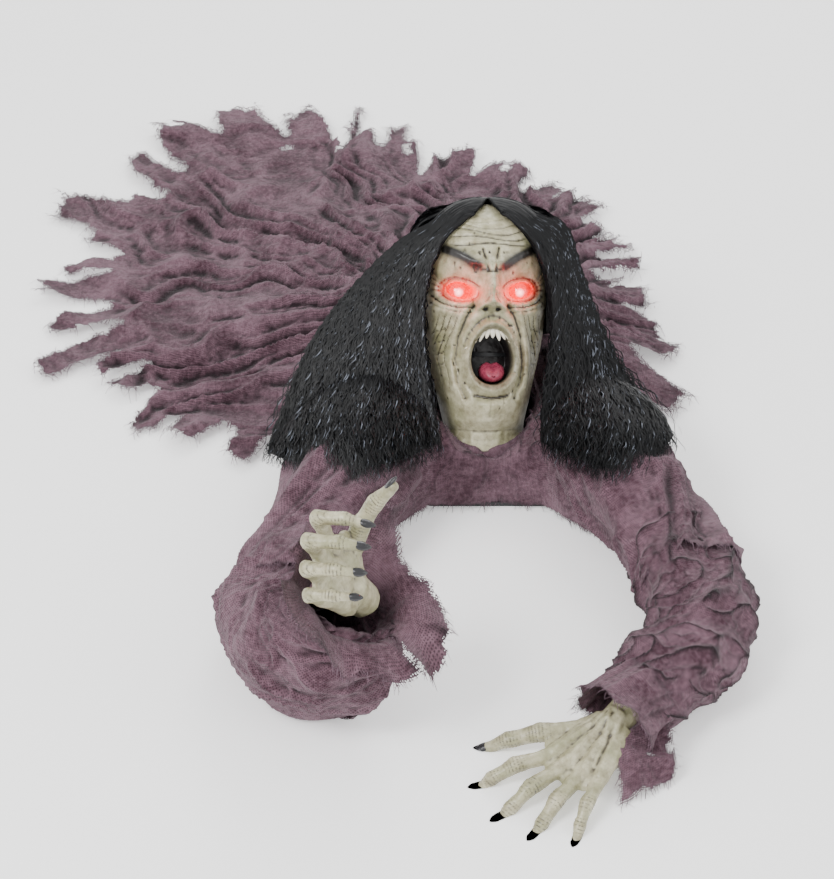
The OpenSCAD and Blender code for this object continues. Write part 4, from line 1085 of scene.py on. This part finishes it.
def edgeFacts(cloth):
    # for every rim edge its middle, its way out and its own direction
    mesh = cloth.data
    pairs = np.empty(len(mesh.edges) * 2, np.int64)
    mesh.edges.foreach_get("vertices", pairs)
    pairs = pairs.reshape(-1, 2)
    uses = np.zeros(len(pairs), int)
    middle = np.zeros((len(pairs), 3))
    loopEdge = np.empty(len(mesh.loops), np.int64)
    mesh.loops.foreach_get("edge_index", loopEdge)
    centres = np.empty(len(mesh.polygons) * 3)
    mesh.polygons.foreach_get("center", centres)
    centres = centres.reshape(-1, 3)
    totals = np.empty(len(mesh.polygons), np.int64)
    mesh.polygons.foreach_get("loop_total", totals)
    owner = np.repeat(np.arange(len(totals)), totals)
    np.add.at(uses, loopEdge, 1)
    middle[loopEdge] = centres[owner]
    rim = np.where(uses == 1)[0]
    points = getPoints(cloth)
    a, b = points[pairs[rim, 0]], points[pairs[rim, 1]]
    return (a + b) / 2, (a + b) / 2 - middle[rim], b - a


def tearAndShade(cloth, frayMm, seed):
    # frayed towards the rim, with painted shade in the valleys
    middles = edgeFacts(cloth)[0]
    tree = KDTree(len(middles))
    for i, m in enumerate(middles):
        tree.insert(m, i)
    tree.balance()
    points = getPoints(cloth)
    reach = np.array([tree.find(p)[2] for p in points]) / mm
    frayed = frayMm * (1 + 0.8 * softNoise(points / mm, 28, seed))
    setMask(cloth, "fray", np.clip(1 - reach / np.maximum(frayed, 2), 0, 1))
    # the deep mask marks the hollows that get painted shade
    hollow = hollowness(cloth, 10)
    setMask(cloth, "deep", np.clip((hollow - 0.15) * 0.5, 0, 1))


def fringeOf(cloth, name, threads, longMm, seed, floorMm=0.8):
    # loose threads pulled out of a torn edge
    middles, outs, runs = edgeFacts(cloth)
    rng = np.random.default_rng(seed)
    weights = np.linalg.norm(runs, axis=1)
    picks = rng.choice(len(middles), size=threads, p=weights / weights.sum())
    seg = 5
    points, faces, tones = [], [], []
    for i in picks:
        out = outs[i] / (np.linalg.norm(outs[i]) + 1e-9)
        run = runs[i] / (np.linalg.norm(runs[i]) + 1e-9)
        direction = out + run * rng.normal(0, 0.55) + np.array([0, 0, rng.normal(0, 0.15)])
        direction /= np.linalg.norm(direction)
        long = longMm * (0.25 + 1.0 * rng.random() ** 2)
        curl = rng.normal(0, 0.5)
        t = np.linspace(0, 1, seg)
        path = middles[i] / mm - direction * 1.5 + np.outer(t * long, direction) \
            + np.outer(np.sin(t * 2.2) * long * 0.35 * curl, run)
        path[:, 2] -= t ** 2 * long * 0.35
        path[:, 2] = np.maximum(path[:, 2], floorMm)
        side = np.cross(direction, [0, 0, 1.0])
        side /= np.linalg.norm(side) + 1e-9
        half = (0.26 + 0.16 * rng.random()) * (1 - 0.5 * t)
        first = len(points) * 2 * seg
        points.append(np.stack([path - side * half[:, None], path + side * half[:, None]], 1).reshape(-1, 3))
        tones.append(np.full(2 * seg, rng.random()))
        for j in range(seg - 1):
            a = first + 2 * j
            faces.append((a, a + 1, a + 3, a + 2))
    fringe = meshFrom(name, np.concatenate(points) * mm, faces)
    setMask(fringe, "tone", np.concatenate(tones))
    return fringe


def threadMaterial():
    # single dyed cotton threads, greyer than the cloth
    material, tree, shader = newMaterial("looseCottonThread", Roughness=0.95, Specular_IOR_Level=0.1)
    tone = maskOf(tree, "tone")
    fuzz = noiseOf(tree, objectPlace(tree), 3, 2.0)
    mixed = calc(tree, "ADD", calc(tree, "MULTIPLY", tone, 0.7), calc(tree, "MULTIPLY", fuzz, 0.3))
    tree.links.new(blendColour(tree, mixed, colour("#4a3a41"), colour("#7a6570")), shader.inputs["Base Color"])
    return material


cottonThread = threadMaterial()


def crumple(p, seed, size=34, high=10.0):
    # crests of three sizes, bent by a slow drift
    drift = np.stack([softNoise(p, size * 3, seed + step) for step in (1, 2, 3)], 1)
    q = p + drift * size * 0.9
    big = foldNoise(q, size, seed + 4) - 0.4
    middle = foldNoise(q, size * 0.45, seed + 5) - 0.4
    fine = foldNoise(q, size * 0.2, seed + 6) - 0.4
    return high * (big + 0.45 * middle + 0.16 * fine)


skirt = {
    "centre": (-144, 304), "waist": (-50, 190),
    "angles": [-60, -45, -32, -20, 0, 20, 40, 60, 76, 90, 105, 118, 135, 150, 170, 190, 210, 230, 250, 270, 300],
    "reach": [300, 400, 392, 345, 292, 300, 310, 290, 268, 296, 350, 388, 360, 325, 340, 328, 322, 345, 335, 315, 300],
    # each strip: direction, length past the hem, width, sideways drift of its end
    "strips": [(201, 104, 34, 14), (191, 74, 30, 10), (180, 96, 36, -8), (172, 60, 20, 12), (163, 52, 26, -6),
               (154, 122, 60, 10), (146, 50, 22, 10), (138, 84, 42, -10), (126, 96, 60, 10), (115, 82, 62, -8),
               (103, 88, 44, 6), (95, 128, 14, -26), (91, 60, 26, 4), (85, 96, 30, -6), (78, 88, 15, 22),
               (72, 46, 22, 0), (66, 54, 32, 6), (59, 42, 26, -6), (52, 48, 28, 8), (44, 54, 34, -8), (37, 40, 22, 6),
               (31, 52, 44, 6), (23, 40, 22, -6), (16, 50, 34, 6), (8, 52, 30, -6), (1, 34, 16, 6), (-5, 62, 38, 8),
               (-13, 50, 34, -8), (-21, 58, 34, 10), (-28, 78, 20, -22), (-34, 60, 34, 10), (-41, 58, 30, -10),
               (208, 58, 24, 10), (216, 44, 26, -8), (225, 46, 34, 8), (235, 34, 36, -6), (246, 34, 34, 6), (258, 26, 30, 0)],
    "flat": (0.90, 1.02), "thread": 3600, "fray": 9,
}


def skirtInside(x, y):
    cx, cy = skirt["centre"]
    dx, dy = x - cx, y - cy
    r = np.hypot(dx, dy)
    angle = np.degrees(np.arctan2(dy, dx))
    angle = np.where(angle < -60, angle + 360, angle)
    hem = np.interp(angle, skirt["angles"], skirt["reach"])
    p = np.stack([x, y, x * 0], 1)
    ragged = 7 * softNoise(p, 16, 21) + 4 * softNoise(p, 6, 22)
    inside = r < hem - 10 + 1.3 * ragged
    for direction, long, wide, drift in skirt["strips"]:
        a = math.radians(direction)
        root = np.interp(direction if direction > -60 else direction + 360, skirt["angles"], skirt["reach"]) - 30
        t = (dx * math.cos(a) + dy * math.sin(a) - root) / (long + 30)
        s = -dx * math.sin(a) + dy * math.cos(a) - drift * np.clip(t, 0, 1.2) ** 2
        half = wide / 2 * (1.62 - 0.62 * np.clip(t, 0, 1)) + 0.22 * ragged
        inside |= (t > 0) & (t < 1 + 0.02 * ragged + 0.10 * softNoise(p, 11, 23)) & (np.abs(s) < half)
    # the robe's body takes the place in front
    inside &= ~((np.abs(x) < 118) & (y < 196)) & ~((np.abs(x) < 176) & (y < 30) & (y > -140))
    inside &= y > -50
    return inside


def skirtHeight(x, y):
    wx, wy = skirt["waist"]
    dx, dy = x - wx, y - wy
    far = np.hypot(dx, dy)
    p = np.stack([x, y, x * 0], 1)
    angle = np.arctan2(dy, dx) + 0.20 * softNoise(p, 130, 31) + 0.07 * softNoise(p, 50, 32)
    ring = np.stack([np.cos(angle) * 420, np.sin(angle) * 420, far * 0.30 + 24 * softNoise(p, 90, 33)], 1)
    folds = 17 * (foldNoise(ring, 62, 34) ** 1.5 - 0.3) + 12 * (foldNoise(ring, 34, 35) ** 1.5 - 0.3) \
        + 5 * (foldNoise(ring, 17, 36) - 0.4)
    cross = crumple(p, 37, 40, 4.5)
    cx, cy = skirt["centre"]
    r = np.hypot(x - cx, y - cy)
    mound = 30 * (1 - smoothStep(70, 300, np.hypot(x + 110, y - 290)))
    nearRobe = 26 * (1 - smoothStep(20, 120, np.hypot(np.maximum(0, np.abs(x) - 110), np.maximum(0, y - 200))))
    edge = smoothStep(250, 420, r)
    z = 9 + mound + nearRobe + (folds + cross) * (1.0 - 0.5 * edge) + 5 * edge * softNoise(p, 46, 38)
    return np.where(z > 3, z, 3 - 2.2 * (1 - np.exp((z - 3) / 6.0)))


def makeSkirt():
    low, high = cadBox
    left, right, front, back = low[0] / mm - 26, 292.0, -50.0, high[1] / mm + 22

    def place(u, v):
        x, y = left + (right - left) * u, front + (back - front) * v
        return np.stack([x, y, skirtHeight(x, y)], 1), x, y
    cloth = layGrid("skirtGauze", 300, 290, place)
    p = getPoints(cloth) / mm
    deletePoints(cloth, ~skirtInside(p[:, 0], p[:, 1]))
    p = getPoints(cloth) / mm
    sway = np.stack([softNoise(p, 5, 41), softNoise(p, 5, 42), 0 * p[:, 0]], 1) * 1.2
    slip = np.stack([softNoise(p, 38, 43), softNoise(p, 38, 44), 0 * p[:, 0]], 1) * 5
    setPoints(cloth, (p + sway + slip) * mm)
    tearAndShade(cloth, skirt["fray"], 45)
    fringe = fringeOf(cloth, "skirtThreads", skirt["thread"], 12, 46)
    finishPiece(cloth, gauzeCloth, "base", ["skirt"])
    finishPiece(fringe, cottonThread, "base")


robe = {"flat": (0.46, 0.42), "fray": 7, "hem": {"mid": -114, "side": -176}}


def robeProfile(u, v):
    # u runs across from the right side to the left, v from the back over the top to the front hem
    across = (u - 0.5) * 2
    back = np.clip(v / 0.78, 0, 1)
    down = np.clip((v - 0.78) / 0.22, 0, 1)
    longer = abs(robe["hem"]["side"]) - abs(robe["hem"]["mid"])
    frontY = robe["hem"]["mid"] + 8 - longer * smoothStep(0.25, 0.8, np.abs(across))
    y = 246 + (frontY - 246) * back
    half = np.interp(y, [-160, -60, 0, 120, 246], [178, 190, 176, 146, 132])
    x = across * half
    ax = np.abs(x)
    shoulder = bump(ax - 112, y + 82, 62, 70)
    z = 60 + 62 * shoulder + 26 * bump(x, y - 70, 90, 50)
    edgeFall = smoothStep(0.66, 1.0, np.abs(across))
    z = z * (1 - 0.93 * edgeFall ** 1.3) + 3
    z = z * (1 - 0.85 * smoothStep(200, 246, y))
    z = z * (1 - smoothStep(0, 1, down) ** 0.8) + 6 * smoothStep(0, 1, down) ** 0.8
    y = y - 9 * np.sin(down * math.pi / 2) - 3 * down
    return x, y, z


def makeRobe():
    def place(u, v):
        x, y, z = robeProfile(u, v)
        p = np.stack([x, y, z], 1)
        c = crumple(p * np.array([1.3, 0.8, 0.6]), 51, 38, 9.0) * (1 - 0.45 * smoothStep(0.72, 0.84, v))
        fall = np.stack([softNoise(p, 30, 57) * 3, softNoise(p, 30, 58) * 3, c], 1)
        frontFace = smoothStep(0.78, 0.86, v)
        fall[:, 1] -= c * frontFace
        p = p + fall
        p[:, 2] = np.maximum(p[:, 2], 2.0)
        return p, x, 246 - v * 420
    cloth = layGrid("robeBodyGauze", 230, 230, place)
    p = getPoints(cloth) / mm
    fromNeck = np.hypot((p[:, 0] + 4) / 58, (p[:, 1] + 22) / np.where(p[:, 1] < -22, 77, 84))
    neckHole = fromNeck < 1 + 0.04 * softNoise(p, 14, 61)
    hemLine = 2.2 + 4 * (1 + softNoise(p, 18, 62)) + 2.2 * softNoise(p, 6, 63)
    low = (p[:, 1] < -96) & (p[:, 2] < hemLine)
    corner = (np.abs(p[:, 0]) > 168 + 8 * softNoise(p, 18, 64)) & (p[:, 1] < -60)
    deletePoints(cloth, neckHole | low | corner)
    tearAndShade(cloth, robe["fray"], 65)
    fringe = fringeOf(cloth, "robeThreads", 1100, 9, 66)
    finishPiece(cloth, gauzeCloth, "base", ["robe_body"])
    finishPiece(fringe, cottonThread, "base")


def tubeCloth(name, stations, across, along, folds, seed):
    stations = np.asarray(stations, float)
    lengths = np.concatenate([[0], np.cumsum(np.linalg.norm(np.diff(stations[:, :3], axis=0), axis=1))])
    whole = lengths[-1]

    def place(u, v):
        c = alongCurve(stations, v)
        ahead, behind = alongCurve(stations, np.minimum(v + 0.02, 1)), alongCurve(stations, np.maximum(v - 0.02, 0))
        tangent = (ahead - behind)[:, :3]
        tangent /= np.linalg.norm(tangent, axis=1)[:, None]
        side = np.cross(tangent, np.array([0, 0, 1.0]))
        side /= np.linalg.norm(side, axis=1)[:, None]
        up = np.cross(side, tangent)
        around = u * 2 * math.pi
        ring = side * (c[:, 3] * np.sin(around))[:, None] - up * (c[:, 4] * np.cos(around))[:, None]
        normal = ring / np.linalg.norm(ring, axis=1)[:, None]
        along1 = v * whole
        turn = around + along1 / 110
        q = np.stack([np.sin(turn) * 52, np.cos(turn) * 52, along1 * folds["stretch"]], 1)
        crease = folds["high"] * (foldNoise(q, 40, seed) ** 1.4 + 0.6 * foldNoise(q, 21, seed + 5) ** 1.4
                                  + 0.22 * foldNoise(q, 9, seed + 6) - 0.75) + 4 * softNoise(q, 70, seed + 7)
        beat = along1 / folds["pitch"] + 2.6 * softNoise(q, 50, seed + 9) + around * 0.5
        rings = folds["rings"] * np.maximum(0, np.sin(beat))
        p = c[:, :3] + ring + normal * (crease + rings)[:, None]
        floorLift = 1.6 + 1.4 * (1 + softNoise(p, 20, seed + 10))
        # cloth eases onto the floor instead of going through it
        eased = floorLift + 6 * np.exp(np.minimum(0, (p[:, 2] - floorLift - 6) / 6))
        p[:, 2] = np.where(p[:, 2] < floorLift + 6, eased, p[:, 2])
        return p, u * 2 * math.pi * 50, v * whole
    cloth = layGrid(name, across, along, place)
    cleanMesh(cloth, 0.0002, turnOut=True)  # the two sides of the seam meet
    return cloth


sleeves = {
    "upper": {"rod": "_upper_rod", "seedStep": 10, "flat": {"right": (0.38, 0.34), "left": (0.35, 0.32)},
              "folds": {"stretch": 0.45, "high": 13.0, "rings": 1.5, "pitch": 11}},
    "lower": {"rod": "_fore_rod", "seedStep": 0, "flat": {"right": (0.38, 0.40), "left": (0.32, 0.33)},
              "folds": {"stretch": 0.8, "high": 14.0, "rings": 4.5, "pitch": 11}},
    "fray": 5, "threads": 520, "threadLong": 11,
}


def makeSleeves(which, seed):
    for part in ("upper", "lower"):
        facts, stations = sleeves[part], sleeveStations[which][part]
        cloth = tubeCloth(which + part.title() + "SleeveGauze", stations, 150, 190, facts["folds"],
                          seed + facts["seedStep"])
        if part == "upper":
            # torn across just short of the elbow
            p = getPoints(cloth) / mm
            end = np.array(stations[-1][:3])
            axis = end - np.array(stations[-2][:3])
            past = (p - end) @ (axis / np.linalg.norm(axis))
            torn = -14 + 12 * softNoise(p, 26, seed + 3) + 5 * softNoise(p, 8, seed + 4)
            deletePoints(cloth, (past > torn) & (np.linalg.norm(p - end, axis=1) < 110))
        tearAndShade(cloth, sleeves["fray"], seed + 5)
        finishPiece(cloth, gauzeCloth, None, [which + "_" + part + "_sleeve"])
        pieces = [cloth]
        if part == "upper":
            threads = fringeOf(cloth, which + "UpperSleeveThreads", sleeves["threads"], sleeves["threadLong"], seed + 6)
            pieces.append(finishPiece(threads, cottonThread))
        for piece in pieces:
            if part == "upper":
                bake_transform(piece)
            else:
                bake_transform(piece)


cuffStations = {
    "right": [(-158, -446, 138, 40, 42), (-148, -452, 156, 44, 46), (-140, -458, 174, 58, 60),
              (-132, -465, 190, 76, 80), (-126, -470, 204, 92, 96)],
    "left": [(158, -464, 46, 38, 38), (140, -482, 45, 40, 39), (124, -500, 43, 44, 40), (114, -511, 41, 50, 42)],
}


cuff = {
    "folds": {"stretch": 0.5, "high": 8.0, "rings": 1.0, "pitch": 8}, "fray": 9, "threads": 420, "threadLong": 9,
    "flat": {"right": (0.40, 0.085), "left": (0.30, 0.08)},
}


def makeCuff(which, seed):
    stations = cuffStations[which]
    cloth = tubeCloth(which + "CuffGauze", stations, 170, 80, cuff["folds"], seed)
    p = getPoints(cloth) / mm
    start, end = np.array(stations[0][:3]), np.array(stations[-1][:3])
    axis = (end - start) / np.linalg.norm(end - start)
    t = ((p - start) @ axis) / np.linalg.norm(end - start)
    out = p - start - np.outer(t * np.linalg.norm(end - start), axis)
    far = np.linalg.norm(out, axis=1)
    if which == "right":
        # ruffled open cuff that droops on its lower side
        around = np.arctan2(out[:, 0], out[:, 1])
        ruffle = smoothStep(0.45, 1.0, t)
        p = p + axis * (12 * ruffle * np.sin(around * 5 + 1.3) + 7 * ruffle * np.sin(around * 9))[:, None]
        p[:, 2] -= ruffle * (0.006 * far ** 2 * smoothStep(40, -40, out[:, 2]))
        limit = 0.86 + 0.20 * softNoise(p, 30, seed + 1) + 0.08 * softNoise(p, 9, seed + 2)
    else:
        limit = 0.88 + 0.14 * softNoise(p, 22, seed + 1) + 0.06 * softNoise(p, 8, seed + 2)
    setPoints(cloth, p * mm)
    if which == "left":
        # a loose torn corner hangs off the cuff and lies on the floor
        def flapPlace(u, v):
            a = np.array([176, -468, 50.0]) + np.outer(u, np.array([-56, -22, -4]))
            b = np.array([186, -548, 8.0]) + np.outer(u, np.array([-62, -38, -2]))
            q = a + (b - a) * v[:, None]
            q[:, 2] += 8 * np.sin(v * 3.1) + crumple(q, seed + 20, 24, 6.0)
            q[:, 2] = np.maximum(q[:, 2], 2)
            return q, u * 62, v * 84
        flap = layGrid("cuffFlap", 60, 80, flapPlace)
        q = getPoints(flap) / mm
        outside = softNoise(q, 14, seed + 21) * 10 + np.abs(q[:, 0] - 150) - 36 > 0
        deletePoints(flap, outside & (q[:, 1] < -520))
    deletePoints(cloth, t > limit)
    if which == "left":
        cloth = joinShapes([cloth, flap], "leftCuffGauze")
    tearAndShade(cloth, cuff["fray"], seed + 3)
    fringe = fringeOf(cloth, which + "CuffThreads", cuff["threads"], cuff["threadLong"], seed + 4)
    finishPiece(cloth, gauzeCloth, which + "_forearm", [which + "_cuff"])
    finishPiece(fringe, cottonThread, which + "_forearm")


def makeCollar():
    def place(u, v):
        around = u * 2 * math.pi
        back = (1 - np.cos(around)) / 2
        x = -4 + (60 + 7 * v) * np.sin(around)
        y = -22 - (76 + 6 * v) * np.cos(around) + 6 * back
        z = 76 - 16 * v + 34 * back - 6 * np.exp(-((around - math.pi * 2 * np.round(u)) / 0.10) ** 2)
        p = np.stack([x, y, z], 1)
        return p + crumple(p, 71, 22, 4.0)[:, None] * np.array([0.3, -0.3, 0.7]), u * 420, v * 30
    cloth = layGrid("collarGauze", 220, 24, place)
    cleanMesh(cloth, 0.0003)
    tearAndShade(cloth, 3, 72)
    fringe = fringeOf(cloth, "collarThreads", 200, 3, 73)
    finishPiece(cloth, gauzeCloth, "base", ["robe_collar"])
    finishPiece(fringe, cottonThread, "base")


def makePads():
    # felted pads that round the shoulders under the robe
    for which in ("right", "left"):
        low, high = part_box(which + "_shoulder_pad")
        low, high = np.array(low), np.array(high)
        pad = addShape("cube", which + "ShoulderPadFelt", size=1)
        bpy.ops.object.mode_set(mode="EDIT")
        bpy.ops.mesh.subdivide(number_cuts=14)
        bpy.ops.object.mode_set(mode="OBJECT")
        p = getPoints(pad) * 2
        rounded = p / (1e-6 + (np.abs(p) ** 3.2).sum(1)[:, None] ** (1 / 3.2)) * np.abs(p).max(1)[:, None]
        middle = (low + high) / 2
        p = middle + rounded * (high - low) / 2 * 0.97
        # a sewn channel along the top
        p[:, 2] -= 0.004 * np.exp(-((p[:, 0] - middle[0]) / 0.006) ** 2) * (p[:, 2] > middle[2])
        setPoints(pad, p)
        finishPiece(pad, plain["pad_foam"], "base", [which + "_shoulder_pad"])


makeRobe()
makeSkirt()
makeCollar()
print("robe and skirt laid")
for seed, which in ((101, "right"), (151, "left")):
    makeSleeves(which, seed)
    makeCuff(which, seed + 30)
makePads()
print("sleeves, cuffs and pads done")


def makeWigCap():
    # netted cap stretched over the crown under the hair
    def place(u, v):
        around = (u - 0.5) * 3.9
        theta = np.clip(v / 0.55, 0, 1) * math.pi / 2
        size = np.where(v < 0.55, np.sin(theta) ** 0.8, 1.0)
        z = np.where(v < 0.55, 190 + 84 * np.cos(theta) ** 0.8, 190 - 66 * (v - 0.55) / 0.45)
        back = np.where(np.cos(around) > 0, np.interp(z, [100, 136, 174, 190], [70, 82, 92, 94]), 70)
        p = np.stack([77.0 * size * np.sin(around), 5 + back * size * np.cos(around), z], 1)
        return headToWorld(p, turned=False) / mm, u * 260, v * 190
    cap = layGrid("wigCapNet", 90, 70, place)
    finishPiece(cap, plain["cap_cloth"], "head", ["wig_cap"])


makeWigCap()
dressNodes()
eyeGlow = {"inFront": 0.016, "above": 0.010, "watts": 0.05, "red": (1, 0.03, 0.02), "soft": 0.004}
for which in ("right", "left"):
    low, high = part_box(which + "_eye_lens")
    bpy.ops.object.light_add(type="POINT", location=((low[0] + high[0]) / 2, low[1] - eyeGlow["inFront"],
                                                     high[2] + eyeGlow["above"]))
    glow = bpy.context.object
    glow.name = which + "EyeGlow"
    glow.data.energy = eyeGlow["watts"]
    glow.data.color = eyeGlow["red"]
    glow.data.shadow_soft_size = eyeGlow["soft"]
    glow.parent = frame["bodies"]["head"]
print("finishes set")

low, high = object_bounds()
print("box", [round(v * 1000) for v in list(low) + list(high)],
      "cad", [round(v * 1000) for c in cadBox for v in c])
